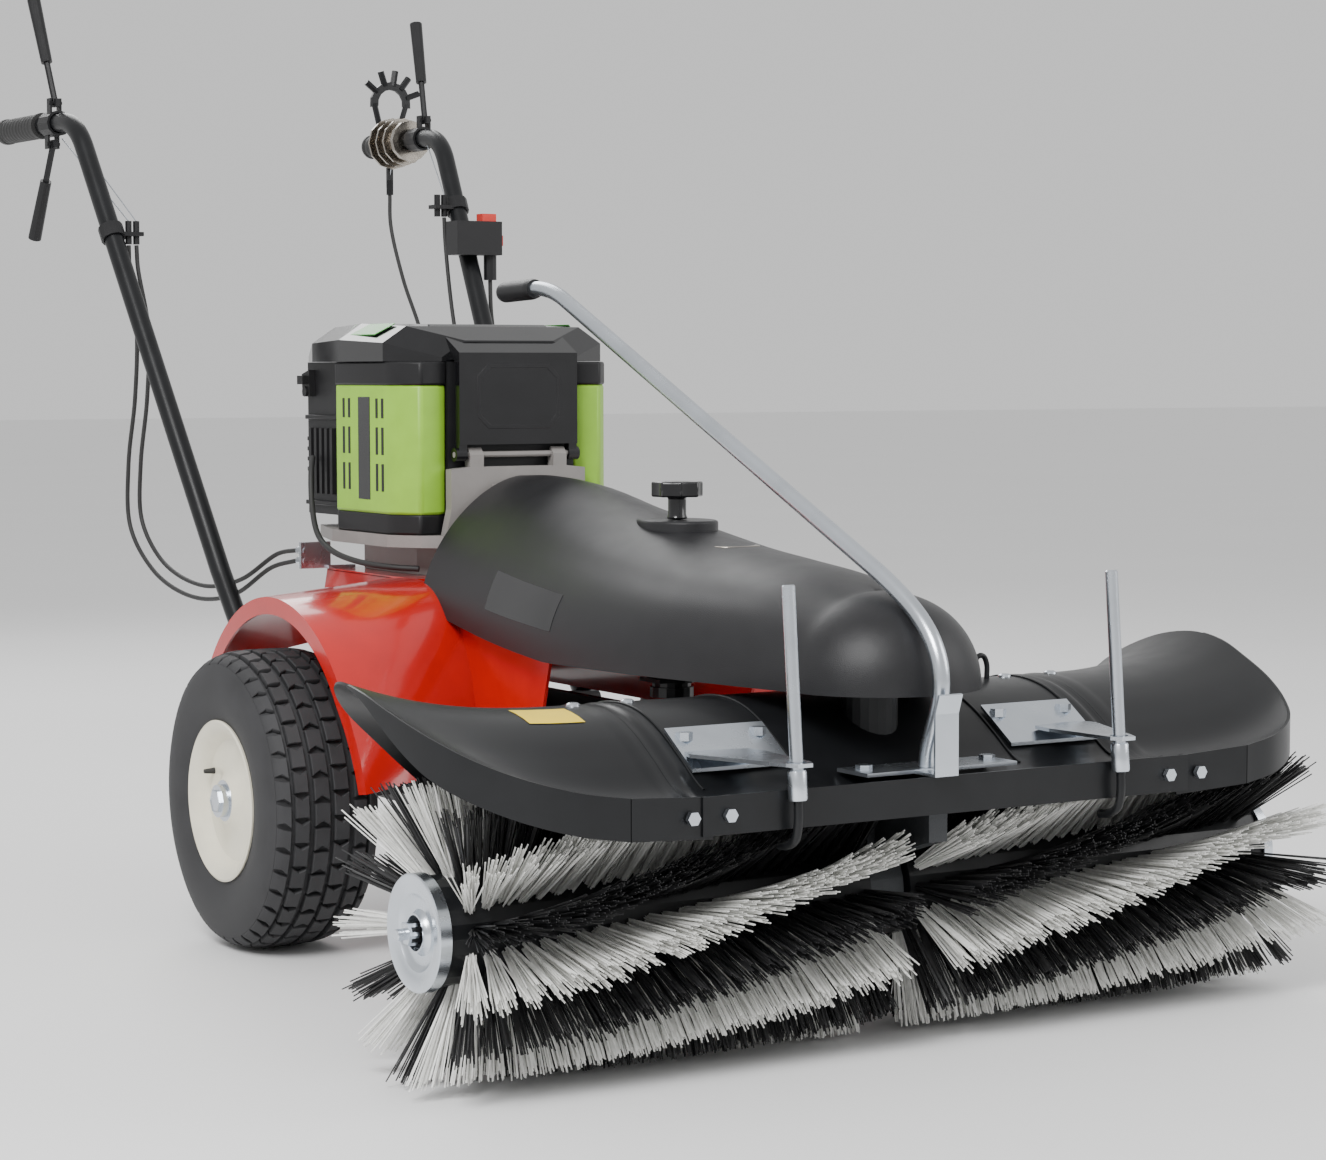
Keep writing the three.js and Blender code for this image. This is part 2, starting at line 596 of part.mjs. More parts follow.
// The gloss lid, hollow from below, with its hinge barrels.
function lid() {
  const low = BATTERY_TOP + GAP + 0.2;
  const front = plateAlongX(
    [[MOTOR_FRONT_Y, 632], [MOTOR_FRONT_Y + 14, 632], [MOTOR_FRONT_Y + 14, low + 2], [MOTOR_FRONT_Y + 90, low],
      [MOTOR_FRONT_Y + 90, LID_TOP - 2], [MOTOR_FRONT_Y + 42, LID_TOP - 18], [MOTOR_FRONT_Y, 752]],
    -LID_HALF,
    LID_HALF,
  );
  const section = (wide, top, low) => [[-wide, low], [wide, low], [wide, top - 22], [wide - 34, top], [34 - wide, top],
    [-wide, top - 22]];
  const stations = [
    [MOTOR_FRONT_Y + 26, LID_HALF + 12, LID_TOP - 24],
    [MOTOR_FRONT_Y + 70, 164, LID_TOP - 5],
    [MOTOR_FRONT_Y + 200, 166, LID_TOP],
    [1130, 160, LID_TOP - 4],
    [1190, 138, LID_TOP - 22],
  ];
  const ring = stations.map(([y, wide, top]) => section(wide, top, low).map(([x, z]) => V(x, y, z)));
  const faces = [];
  const fan = (points) => points.slice(1, -1).forEach((_, i) => faces.push(points[0], points[i + 1], points[i + 2]));
  ring.slice(1).forEach((next, i) => {
    next.forEach((_, k) => {
      const j = (k + 1) % next.length;
      faces.push(ring[i][k], ring[i][j], next[j], ring[i][k], next[j], next[k]);
    });
  });
  fan(ring[0].slice().reverse());
  fan(ring.at(-1));
  const cap = solid(new THREE.BufferGeometry().setFromPoints(faces));
  const hollow = box(-120, 120, MOTOR_FRONT_Y + 60, 1120, low - 4, LID_TOP - 26);
  const barrels = [-1, 1].map((side) =>
    sideways(side * 76, side * 92, HINGE_Y, HINGE_Z, 9, 14),
  );
  const cheeks = [-1, 1].map((side) =>
    box(side > 0 ? 76 : -LID_HALF, side > 0 ? LID_HALF : -76, MOTOR_FRONT_Y + 2, MOTOR_FRONT_Y + 14, HINGE_Z, 640),
  );
  const bore = sideways(-200, 200, HINGE_Y, HINGE_Z, HINGE_PIN_RADIUS + 0.6, 10);
  return cut(join(front, cap, barrels, cheeks), hollow, bore);
}

const LATCH = V(-144 - GAP, 1166, 700);

function latch() {
  const { x, y, z } = LATCH;
  const lever = plateAlongX([[y - 12, z - 6], [y + 12, z - 6], [y + 14, z + 24], [y - 10, z + 30]], x - 9, x);
  return join(lever, box(x - 18, x - 8, y - 8, y + 10, z + 10, z + 22), sideways(x - 12, x, y, z, 7, 12));
}

// ---- brush --------------------------------------------------------------------------------------
const BRUSH_START = GEARBOX_HALF + 4;

function brushCore() {
  const shaft = sideways(-BRUSH_HALF - 20, BRUSH_HALF + 20, BRUSH_Y, BRUSH_RADIUS, BRUSH_SHAFT_RADIUS, 12);
  const tubes = [-1, 1].map((side) =>
    sideways(side * BRUSH_START, side * BRUSH_HALF, BRUSH_Y, BRUSH_RADIUS, CORE_RADIUS, 24),
  );
  return join(shaft, tubes);
}

function bristles() {
  const inner = CORE_RADIUS + GAP;
  const loop = [
    [BRUSH_START, inner],
    [BRUSH_START, BRUSH_RADIUS],
    [BRUSH_HALF + BRUSH_FLARE - 14, BRUSH_RADIUS],
    [BRUSH_HALF + BRUSH_FLARE, BRUSH_RADIUS - 22],
    [BRUSH_HALF - 2, inner + 12],
    [BRUSH_HALF - 2, inner],
    [BRUSH_START, inner],
  ];
  return turnedAboutX(loop, BRUSH_Y, BRUSH_RADIUS, 24);
}

function endDisc() {
  const near = BRUSH_HALF + GAP;
  const bore = BRUSH_SHAFT_RADIUS + GAP;
  const loop = [
    [near, bore],
    [near, CORE_RADIUS + 4],
    [near + 13, CORE_RADIUS + 4],
    [near + 14, CORE_RADIUS - 2],
    [near + 10, 40],
    [near + 5, 34],
    [near + 5, 22],
    [near + 12, 20],
    [near + 12, bore],
    [near, bore],
  ];
  return turnedAboutX(loop, BRUSH_Y, BRUSH_RADIUS, 20);
}

// ---- brush head ---------------------------------------------------------------------------------
// The gear housing between the brush halves, with its column up to the swivel bearing and its front tab.
function gearbox() {
  const half = GEARBOX_HALF;
  const round = sideways(-half, half, BRUSH_Y, BRUSH_RADIUS, 50, 24);
  const column = plateAlongX(
    [[BRUSH_Y - 44, BRUSH_RADIUS], [BRUSH_Y + 44, BRUSH_RADIUS], [SWIVEL_Y + 26, BEARING_BOTTOM - 22],
      [SWIVEL_Y + 26, BEARING_BOTTOM - RUN], [SWIVEL_Y - 26, BEARING_BOTTOM - RUN],
      [SWIVEL_Y - 26, BEARING_BOTTOM - 22]],
    -half,
    half,
  );
  const tab = plateAlongX(
    [[BRUSH_Y - 30, BRUSH_RADIUS + 30], [BRUSH_Y - 20, BRUSH_RADIUS + 84], [-88, 268], [-97, 262], [-97, 228], [-88, 226]],
    -12,
    12,
  );
  const bore = sideways(-half - 2, half + 2, BRUSH_Y, BRUSH_RADIUS, BRUSH_SHAFT_RADIUS + RUN, 20);
  return cut(join(round, column, tab), bore);
}

// Outline of the guard from its rear edge over the top to the front trough, as [y, z] at the outer face.
const guardOutline = new THREE.SplineCurve(
  [
    [262, 235],
    [250, 292],
    [218, 338],
    [172, GUARD_TOP - 8],
    [120, GUARD_TOP],
    [72, GUARD_TOP - 5],
    [30, GUARD_TOP - 21],
    [-10, GUARD_TOP - 45],
    [-48, LIP_TOP - 1],
    [-80, LIP_TOP - 10],
    [-112, LIP_TOP - 11],
    [LIP_Y + SHEET + 1.5, LIP_TOP],
  ].map(([y, z]) => new THREE.Vector2(y, z)),
);

// Height of the guard's outer face at a given y on its front slope.
function guardHeight(y) {
  for (let v = 0.4; v < 1; v += 0.002) {
    const point = guardOutline.getPoint(v);
    if (point.x <= y) return point.y;
  }
  return LIP_TOP;
}

function guardCentre() {
  const surface = (u, v) => {
    const { x: y, y: z } = guardOutline.getPoint(v);
    return V(mix(-GUARD_HALF, GUARD_HALF, u), y, z);
  };
  const sheet = skin(surface, inset(surface, SHEET), 1, 16);
  const hole = upright(300, 400, 0, SWIVEL_Y, SWIVEL_RADIUS + 5, 24);
  return cut(sheet, hole);
}

function lipStrip() {
  return box(-GUARD_HALF - 16, GUARD_HALF + 16, LIP_Y - SHEET, LIP_Y, LIP_TOP - LIP_HEIGHT, LIP_TOP + 1);
}

// Rim of a wing: from the rear of the guard over the raised tip to the front lip, with the depth of its edge.
const wingRim = new THREE.CatmullRomCurve3(
  [
    V(400, 262, 250),
    V(470, 268, 318),
    V(520, 262, 366),
    V(556, 215, 398),
    V(572, 160, 408),
    V(573, 110, 402),
    V(566, 60, 386),
    V(552, 2, 366),
    V(528, -52, 346),
    V(495, -96, 330),
    V(450, -122, 317),
    V(400, -131, 309),
  ],
  false,
  "centripetal",
);

function wingSurface(u, v) {
  const start = guardOutline.getPoint(v);
  const end = wingRim.getPoint(v);
  const flare = u ** 3;
  const spread = mix(GUARD_HALF + GAP, end.x, u);
  return V(spread, mix(start.x, end.y, flare), mix(start.y, end.z, flare));
}

function wing() {
  const sheet = skin(wingSurface, inset(wingSurface, SHEET), 6, 12);
  const edge = (u, v) => {
    const along = mix(0.4, 1, v);
    const top = wingRim.getPoint(along);
    const depth = LIP_HEIGHT * THREE.MathUtils.smoothstep(v, 0, 0.45);
    return V(top.x + 0.6, top.y, top.z - (4 + depth) * (1 - u));
  };
  const rolled = skin(edge, inset(edge, SHEET), 1, 9);
  const front = (u, v) => {
    const top = V(mix(400, GUARD_HALF + 2, v), mix(-131, LIP_Y + SHEET + 3, v), mix(309, LIP_TOP, v));
    return V(top.x, top.y, top.z - (LIP_HEIGHT + 4) * (1 - u));
  };
  const lip = skin(front, inset(front, SHEET), 1, 2);
  return join(sheet, rolled, lip);
}

// The zinc bracket on the front slope of the guard, with its level tab round the pin.
const PIN_FOOT = V(PIN_SIDE, LIP_Y - SHEET - PIN_RADIUS - 5, LIP_TOP - 9);
const PIN_TOP = V(PIN_SIDE, PIN_FOOT.y + 19, PIN_FOOT.z + PIN_HEIGHT);
const TAB_Z = 329;
const SLEEVE_RADIUS = PIN_RADIUS + 3;

function pinBracket() {
  const [high, low] = [22, -34];
  const slope = plateAlongX(
    [[high, guardHeight(high) + 4], [low, guardHeight(low) + 4], [low, guardHeight(low) + 8],
      [high, guardHeight(high) + 8]],
    146,
    268,
  );
  const tab = plateAlongZ(
    [[262, -6], [268, -30], [PIN_SIDE + 15, PIN_FOOT.y], [PIN_SIDE + 9, PIN_FOOT.y - 13],
      [PIN_SIDE - 9, PIN_FOOT.y - 13], [PIN_SIDE - 15, PIN_FOOT.y], [PIN_SIDE - 24, -50], [190, -20]],
    TAB_Z,
    TAB_Z + 4,
  );
  const heads = [160, 252].map((x) => upright(guardHeight(8) + 4, guardHeight(8) + 13, x, 8, 9, 6));
  const pinHole = bar(PIN_FOOT, PIN_TOP, SLEEVE_RADIUS + GAP, 12);
  const under = plateAlongX(
    [[60, guardHeight(60) + 3], [22, guardHeight(22) + 3], [-6, guardHeight(-6) + 3], [-50, guardHeight(-50) + 3],
      [-50, 290], [60, 290]],
    140,
    280,
  );
  return cut(join(slope, tab, heads), pinHole, under);
}

function pin() {
  const up = PIN_TOP.clone().sub(PIN_FOOT).normalize();
  const sleeve = bar(PIN_FOOT, PIN_FOOT.clone().addScaledVector(up, 31), SLEEVE_RADIUS, 12);
  const shank = bar(PIN_FOOT, PIN_TOP, PIN_RADIUS, 12);
  const { x, y, z } = PIN_FOOT;
  const leg = bentBar(
    [V(x, y, z + 6), V(x, y, z - 24), V(x, y + 5, z - 40), V(x, y + 20, z - 48), V(x, y + 34, z - 50)],
    5,
    8,
    6,
  );
  const hole = bar(V(x - 20, PIN_TOP.y, PIN_TOP.z - 14), V(x + 20, PIN_TOP.y, PIN_TOP.z - 14), 2, 6);
  return cut(join(sleeve, shank, leg), hole);
}

const ROD_X = -12;
const ROD_RADIUS = 9.6;
const PLATE_TOP = LIP_TOP + 6;

function leverPlate() {
  const base = box(-98, 98, -106, -50, LIP_TOP + 2, PLATE_TOP);
  const heads = [-81, 81].map((x) => upright(PLATE_TOP - 1, PLATE_TOP + 5, x, -75, 9, 6));
  const [near, far] = [-140, -143];
  const strip = plateAlongX(
    [[near, LIP_TOP + 2], [near, 372], [near - 7, 392], [far - 7, 391], [far, 371], [far, LIP_TOP + 2]],
    ROD_X - 26,
    ROD_X + 4,
  );
  const ledge = box(ROD_X - 26, ROD_X + 4, far, -100, LIP_TOP + 2, PLATE_TOP - 1);
  return cut(join(base, heads, strip, ledge), box(-99, 99, -60, -40, 280, guardHeight(-48) + 0.6));
}

function leverRod() {
  const path = new THREE.CurvePath();
  const at = (y, z) => V(ROD_X, y, z);
  const foot = PLATE_TOP + GAP;
  path.add(new THREE.LineCurve3(at(-94, foot), at(-94, foot + 8)));
  path.add(new THREE.CubicBezierCurve3(at(-94, foot + 8), at(-95, 340), at(-112, 360), at(-117, 388)));
  path.add(new THREE.CubicBezierCurve3(at(-117, 388), at(-123, 440), at(-84, 472), at(-2, 511)));
  path.add(new THREE.LineCurve3(at(-2, 511), at(682, 816)));
  path.add(new THREE.QuadraticBezierCurve3(at(682, 816), at(716, 832), at(756, 834)));
  path.add(new THREE.LineCurve3(at(756, 834), at(842, 831)));
  const section = outline(circle(ROD_RADIUS, 8));
  return solid(new THREE.ExtrudeGeometry(section, { steps: 24, extrudePath: path, bevelEnabled: false }));
}

function leverGrip() {
  const from = V(ROD_X, 764, 833.6);
  const to = V(ROD_X, 852, 830.8);
  return cut(bar(from, to, 14, 14), bar(V(ROD_X, 740, 834.6), V(ROD_X, 843, 831), ROD_RADIUS + 0.8, 14));
}

// ---- handles ------------------------------------------------------------------------------------
const HANDLE_FOOT = V(250, 1225, 425);
const FOOT_SLOPE = rad(48);
const gripAt = (y) => V(mix(HANDLE_BEND_SIDE, 315, (y - HANDLE_BEND_Y) / 270), y, HANDLE_HEIGHT + 1);

function handleTube() {
  const bend = V(HANDLE_BEND_SIDE, HANDLE_BEND_Y, HANDLE_HEIGHT);
  const down = HANDLE_FOOT.clone().sub(bend).normalize();
  const [before, after] = [bend.clone().addScaledVector(down, 48), gripAt(HANDLE_BEND_Y + 52)];
  const path = new THREE.CurvePath();
  const toe = HANDLE_FOOT.clone().addScaledVector(down, -30);
  const rise = V(0, Math.cos(FOOT_SLOPE), Math.sin(FOOT_SLOPE));
  const seat = V(244, CROSS_Y, CROSS_Z).addScaledVector(rise, TUBE_RADIUS + GAP);
  path.add(new THREE.QuadraticBezierCurve3(seat, seat.clone().addScaledVector(rise, 84), toe));
  path.add(new THREE.LineCurve3(toe, before));
  path.add(new THREE.QuadraticBezierCurve3(before, bend, after));
  path.add(new THREE.LineCurve3(after, gripAt(GRIP_END_Y - 8)));
  const section = outline(circle(TUBE_RADIUS, 10));
  return solid(new THREE.ExtrudeGeometry(section, { steps: 26, extrudePath: path, bevelEnabled: false }));
}

function grip(start) {
  const sleeve = bar(gripAt(start), gripAt(GRIP_END_Y), GRIP_RADIUS, 12);
  const ribs = [0.1, 0.82].map((share) => {
    const y = mix(start, GRIP_END_Y, share);
    return bar(gripAt(y), gripAt(y + 12), GRIP_RADIUS + 2, 12);
  });
  const tube = bar(gripAt(start - 10), gripAt(GRIP_END_Y - 7), TUBE_RADIUS + 2 * GAP + 0.5, 12);
  return cut(join(sleeve, ribs), tube);
}

// Upper and lower hand levers: a flat root at the pivot and a round plastic end.
const UPPER_PIVOT = gripAt(1716).add(V(4, 0, 30));
const LOWER_PIVOT = gripAt(1736).add(V(0, 0, -30));

function lever(pivot, reach, side) {
  const tip = pivot.clone().add(reach);
  const waist = pivot.clone().lerp(tip, 0.44);
  const plate = bar(pivot, waist, 5, 8);
  const flat = plateAlongX(
    [[pivot.y - 12, pivot.z - 6], [pivot.y + 10, pivot.z - 6], [pivot.y + 10, pivot.z + 6], [pivot.y - 12, pivot.z + 6]],
    pivot.x - 3,
    pivot.x + 3,
  );
  const end = bar(waist.clone().lerp(pivot, 0.12), tip, 8.5, 12, 10);
  const bore = sideways(pivot.x - 20 * side, pivot.x + 20 * side, pivot.y, pivot.z, 3 + 0.5, 12);
  return cut(join(plate, flat, end), bore);
}

// The clamp round the handle tube, with the cheeks and pivot pins of both levers.
function leverClamp(pivots) {
  const ring = bar(gripAt(1712), gripAt(1750), TUBE_RADIUS + 5, 12);
  const cheek = (pivot) =>
    [-1, 1].map((side) => {
      const [near, far] = [6, 9];
      const x0 = side > 0 ? pivot.x + near : pivot.x - far;
      const tall = pivot.z > HANDLE_HEIGHT ? [HANDLE_HEIGHT + 8, pivot.z + 7] : [pivot.z - 7, HANDLE_HEIGHT - 8];
      return box(x0, x0 + far - near, pivot.y - 3, pivot.y + 12, ...tall);
    });
  const pins = pivots.map((p) => sideways(p.x - 10, p.x + 10, p.y, p.z, 3, 8));
  const tube = bar(gripAt(1690), gripAt(1770), TUBE_RADIUS + 3 * GAP + 0.5, 12);
  return join(cut(join(ring, pivots.map(cheek).flat()), tube), pins);
}

const alongTube = (height) => {
  const bend = V(HANDLE_BEND_SIDE, HANDLE_BEND_Y, HANDLE_HEIGHT);
  return bend.lerp(HANDLE_FOOT, (HANDLE_HEIGHT - height) / (HANDLE_HEIGHT - HANDLE_FOOT.z));
};

// A clamp on the handle tube whose arm holds the cable ends.
function cableBracket(height) {
  const [low, high] = [alongTube(height - 9), alongTube(height + 9)];
  const centre = alongTube(height);
  const ring = bar(low, high, TUBE_RADIUS + 4, 12);
  const arm = box(centre.x - 44, centre.x - 8, centre.y - 14, centre.y + 10, height - 4, height + 2);
  const sockets = [-36, -24].map((dx) => upright(height - 16, height + 18, centre.x + dx, centre.y - 4, 5, 8));
  const tube = bar(alongTube(height - 30), alongTube(height + 30), TUBE_RADIUS + 2 * GAP + 0.5, 12);
  return cut(join(ring, arm, sockets), tube);
}

// ---- speed selector, switch box -----------------------------------------------------------------
const GATE_Y = 1850;
const SOCKET_Z = HANDLE_HEIGHT - 70;

// The toothed gate of the selector over the handle, with the socket of its cable below.
function selectorGate() {
  const centre = gripAt(GATE_Y);
  const hub = V(centre.x + 2, GATE_Y, centre.z + 66);
  const onArc = (radius, turn) => [hub.x + radius * Math.cos(turn), hub.z + radius * Math.sin(turn)];
  const arch = (radius) => Array.from({ length: 9 }, (_, i) => onArc(radius, rad(-10 + i * 25)));
  const band = plateAlongY([...arch(36), ...arch(23).reverse()], GATE_Y - 3, GATE_Y + 3);
  const fingers = [20, 52, 80, 108, 142].map((turn) => {
    const [inner, outer] = [onArc(30, rad(turn)), onArc(55, rad(turn))];
    return bar(V(inner[0], GATE_Y, inner[1]), V(outer[0], GATE_Y, outer[1]), 5.5, 6);
  });
  const legs = [-29, 29].map((dx) => bar(V(centre.x + dx / 2, GATE_Y, centre.z + 16), V(hub.x + dx, GATE_Y, hub.z), 5, 6));
  const ring = bar(gripAt(GATE_Y - 5), gripAt(GATE_Y + 5), TUBE_RADIUS + 8, 10);
  const drop = box(centre.x - 5, centre.x + 5, GATE_Y - 3, GATE_Y + 3, SOCKET_Z, centre.z - TUBE_RADIUS - 2);
  const socket = upright(SOCKET_Z - 12, SOCKET_Z + 12, centre.x, GATE_Y, 6, 8);
  const tube = bar(gripAt(GATE_Y - 24), gripAt(GATE_Y + 24), TUBE_RADIUS + 2 * GAP + 0.5, 12);
  return cut(join(ring, band, fingers, legs, drop, socket), tube);
}

// The drum of discs in front of the gate, with its pointer up into the gate's arch.
function selectorDrum() {
  const discs = [
    [1762, 1772, 33],
    [1788, 1793, 38],
    [1812, 1817, 40],
    [1836, 1841, 42],
    [1766, 1840, 27],
  ].map(([from, to, radius]) => bar(gripAt(from), gripAt(to), radius, 12));
  const tube = bar(gripAt(1750), gripAt(1844), TUBE_RADIUS + RUN, 10);
  return cut(join(discs), tube);
}

const SWITCH_HEIGHT = 935;
const SWITCH = alongTube(SWITCH_HEIGHT).add(V(8, -42, 0));

const SPOUT_X = 16; // strain relief of the switch's lead from the middle of the housing

// The switch housing in front of the handle tube, with its clamp and the strain relief of its lead.
function switchBox() {
  const { x, y, z } = SWITCH;
  const block = box(x - 50, x + 28, y - 18, y + 20, z - 28, z + 24);
  const neck = box(x - 26, x + 4, y + 10, y + 34, z - 14, z + 14);
  const spout = upright(z - 66, z - 26, x + SPOUT_X, y, 10, 12);
  const [low, high] = [alongTube(SWITCH_HEIGHT - 16), alongTube(SWITCH_HEIGHT + 16)];
  const ring = bar(low, high, TUBE_RADIUS + 5, 14);
  const tube = bar(alongTube(SWITCH_HEIGHT - 60), alongTube(SWITCH_HEIGHT + 60), TUBE_RADIUS + GAP + 0.4, 14);
  const wells = [
    box(x - 3, x + 23, y - 11, y + 11, z + 8, z + 40),
    box(x + 16, x + 60, y - 9, y + 9, z - 14, z + 4),
  ];
  return cut(join(block, spout, ring, neck), tube, wells);
}

function topButton() {
  const { x, y, z } = SWITCH;
  return box(x - 2, x + 22, y - 10, y + 10, z + 14, z + 36);
}

function sideButton() {
  const { x, y, z } = SWITCH;
  return box(x + 22, x + 35, y - 8, y + 8, z - 13, z + 3);
}

// ---- cable anchor at the rear of the red body ---------------------------------------------------
const ANCHOR = V(-190, 1092, 470);
const SOCKET_PITCH = 14;

function rearCableBracket() {
  const { x, y, z } = ANCHOR;
  const plate = box(x - 8, x + 36, y - 3, y + 3, z - 10, z + 26);
  const foot = box(x + 30, x + 70, y - 10, y + 3, DECK_TOP + GAP, DECK_TOP + 5);
  const sockets = [0, SOCKET_PITCH].map((dz) => bar(V(x, y - 4, z + dz), V(x, y + 22, z + dz), 5.5, 10));
  return join(plate, foot, sockets);
}

// ---- cables -------------------------------------------------------------------------------------
const CABLE_RADIUS = 3.2;

function cable(points, radius = CABLE_RADIUS, steps = 48) {
  return bentBar(points.map(([x, y, z]) => V(x, y, z)), radius, 8, steps);
}

const LEFT_SOCKET = alongTube(930);
const RIGHT_SOCKET = alongTube(985);

function leftCableA() {
  const { x, y, z } = LEFT_SOCKET;
  return cable([
    [36 - x, y - 4, z - 17 - GAP],
    [37 - x, y - 6, z - 50],
    [-250, 1504, 790],
    [-247, 1520, 690],
    [-241, 1565, 590],
    [-237, 1575, 510],
    [-230, 1521, 453],
    [-222, 1389, 421],
    [-212, 1262, 436],
    [ANCHOR.x - 6, ANCHOR.y + 80, ANCHOR.z + SOCKET_PITCH - 8],
    [ANCHOR.x, ANCHOR.y + 24, ANCHOR.z + SOCKET_PITCH],
  ]);
}

function leftCableB() {
  const { x, y, z } = LEFT_SOCKET;
  return cable([
    [24 - x, y - 4, z - 17 - GAP],
    [25 - x, y - 4, z - 50],
    [-261, 1522, 790],
    [-258, 1540, 690],
    [-252, 1586, 590],
    [-248, 1594, 500],
    [-240, 1530, 438],
    [-232, 1392, 404],
    [-221, 1262, 416],
    [ANCHOR.x - 14, ANCHOR.y + 80, ANCHOR.z - 12],
    [ANCHOR.x, ANCHOR.y + 24, ANCHOR.z],
  ]);
}

// From the bracket on the +X handle down to the drive below the deck.
function driveCable() {
  const { x, y, z } = RIGHT_SOCKET;
  return cable([
    [x - 24, y - 4, z - 17 - GAP],
    [x - 24, y - 8, z - 60],
    [x - 32, y - 50, z - 180],
    [248, 1440, 660],
    [230, 1350, 540],
    [205, 1262, 440],
    [184, 1190, 385],
    [166, 1142, 356],
    [DECK_HALF + 7, 1118, 346],
  ]);
}

// From the socket below the selector's gate down behind the motor.
function selectorCable() {
  const { x } = gripAt(GATE_Y);
  return cable([
    [x, GATE_Y, SOCKET_Z - 12 - GAP],
    [x, GATE_Y - 2, SOCKET_Z - 60],
    [x - 2, GATE_Y - 50, SOCKET_Z - 150],
    [x - 10, GATE_Y - 130, SOCKET_Z - 240],
    [274, 1620, 680],
    [246, 1500, 560],
    [216, 1370, 460],
    [198, 1270, 400],
    [178, 1190, 352],
    [165, 1142, 330],
    [DECK_HALF + 7, 1116, 322],
  ]);
}

function switchLead() {
  const { x, y, z } = SWITCH;
  return cable(
    [
      [x + SPOUT_X, y, z - 66 - GAP],
      [x + SPOUT_X, y - 2, z - 110],
      [x + 4, y - 40, z - 210],
      [222, 1380, 650],
      [184, 1340, 606],
      [132, REAR_Y + 87, 585],
      [98, REAR_Y + 47, 580],
      [88, REAR_Y + 2, 583],
    ],
    3.4,
    32,
  );
}

function motorLead() {
  return cable(
    [
      [-156, 1140, 610],
      [-166, 1124, 590],
      [-176, 1100, 545],
      [-186, 1060, 508],
      [-188, 1010, 488],
      [-176, 950, 476],
      [-152, 905, 471],
      [-124, 880, 469],
    ],
    4,
    20,
  );
}

// ---- assembly -----------------------------------------------------------------------------------
bothSides("tyre", "rubber", tyre());
bothSides("rim", "cream", rim());
add("transaxle", "casting", transaxle());
add("chassis_frame", "black", chassisFrame());
add("body_shell", "red", bodyShell());
add("boom", "black", boom());
add("hood", "plastic", hood());
add("hood_knob", "gloss", hoodKnob());
add("belt", "rubber", belt());
add("motor_pulley", "zinc", motorPulley());
add("head_pulley", "steel", headPulley());
add("motor_base", "grey", motorBase());
add("motor_housing", "plastic", motorHousing());
bothSides("battery", "green", battery());
add("lid", "gloss", lid());
add("lid_latch", "plastic", latch());
add("brush_core", "black", brushCore());
bothSides("bristles", "bristle", bristles());
bothSides("end_disc", "zinc", endDisc());
add("gearbox", "casting", gearbox());
add("guard_centre", "black", guardCentre());
bothSides("guard_wing", "black", wing());
add("lip_strip", "black", lipStrip());
bothSides("pin_bracket", "zinc", pinBracket());
bothSides("pin", "zinc", pin());
add("lever_plate", "zinc", leverPlate());
add("lever_rod", "zinc", leverRod());
add("lever_grip", "plastic", leverGrip());
bothSides("handle_tube", "black", handleTube());
add("grip_left", "rubber", mirrored(grip(LEFT_GRIP_Y)));
add("grip_right", "rubber", grip(RIGHT_GRIP_Y));
add("lever_clamp_left", "plastic", mirrored(leverClamp([UPPER_PIVOT, LOWER_PIVOT])));
add("lever_clamp_right", "plastic", leverClamp([UPPER_PIVOT]));
bothSides("upper_lever", "plastic", lever(UPPER_PIVOT, V(12, 54, LEVER_LENGTH - 6), 1));
add("lower_lever_left", "plastic", mirrored(lever(LOWER_PIVOT, V(4, 78, 26 - LEVER_LENGTH), 1)));
add("cable_bracket_left", "plastic", mirrored(cableBracket(930)));
add("cable_bracket_right", "plastic", cableBracket(985));
add("selector_gate", "black", selectorGate());
add("selector_drum", "nickel", selectorDrum());
add("switch_box", "plastic", switchBox());
add("top_button", "scarlet", topButton());
add("side_button", "scarlet", sideButton());
add("rear_cable_bracket", "zinc", rearCableBracket());
add("cable_left_a", "rubber", leftCableA());
add("cable_left_b", "rubber", leftCableB());
add("drive_cable", "rubber", driveCable());
add("selector_cable", "rubber", selectorCable());
add("switch_lead", "rubber", switchLead());
add("motor_lead", "rubber", motorLead());

const box3 = new THREE.Box3().setFromObject(machine);
machine.position.y = -(box3.min.y + box3.max.y) / 2;

export default machine;
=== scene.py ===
import json
import math
import random

import bmesh
import bpy
from mathutils import Matrix, Vector


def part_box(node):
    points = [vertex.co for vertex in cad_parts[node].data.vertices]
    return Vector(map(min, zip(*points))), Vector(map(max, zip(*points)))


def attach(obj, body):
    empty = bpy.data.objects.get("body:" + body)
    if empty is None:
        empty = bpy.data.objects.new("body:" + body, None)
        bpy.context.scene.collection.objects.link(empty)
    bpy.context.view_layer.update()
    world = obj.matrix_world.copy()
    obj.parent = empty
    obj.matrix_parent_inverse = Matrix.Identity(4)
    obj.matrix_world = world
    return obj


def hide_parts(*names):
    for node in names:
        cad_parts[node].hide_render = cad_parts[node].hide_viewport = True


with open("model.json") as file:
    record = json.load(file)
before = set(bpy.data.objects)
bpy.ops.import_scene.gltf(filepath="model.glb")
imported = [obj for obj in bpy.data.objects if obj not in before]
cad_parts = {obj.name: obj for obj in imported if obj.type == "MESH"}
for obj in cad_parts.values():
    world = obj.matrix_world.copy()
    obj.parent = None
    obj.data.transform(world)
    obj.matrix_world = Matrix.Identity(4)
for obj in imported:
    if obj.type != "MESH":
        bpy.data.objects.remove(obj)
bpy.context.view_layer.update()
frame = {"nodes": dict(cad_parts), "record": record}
NODES = frame["nodes"]

MM = 0.001
# The frame's Y starts in the middle of the machine;
# the dimensions below start 0.132 m behind the front strip.
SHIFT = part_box("lip_strip")[0][1] + 0.132


def at(x, y, z):
    """A point given in millimetres, as metres in the frame."""
    return Vector((x * MM, y * MM + SHIFT, z * MM))


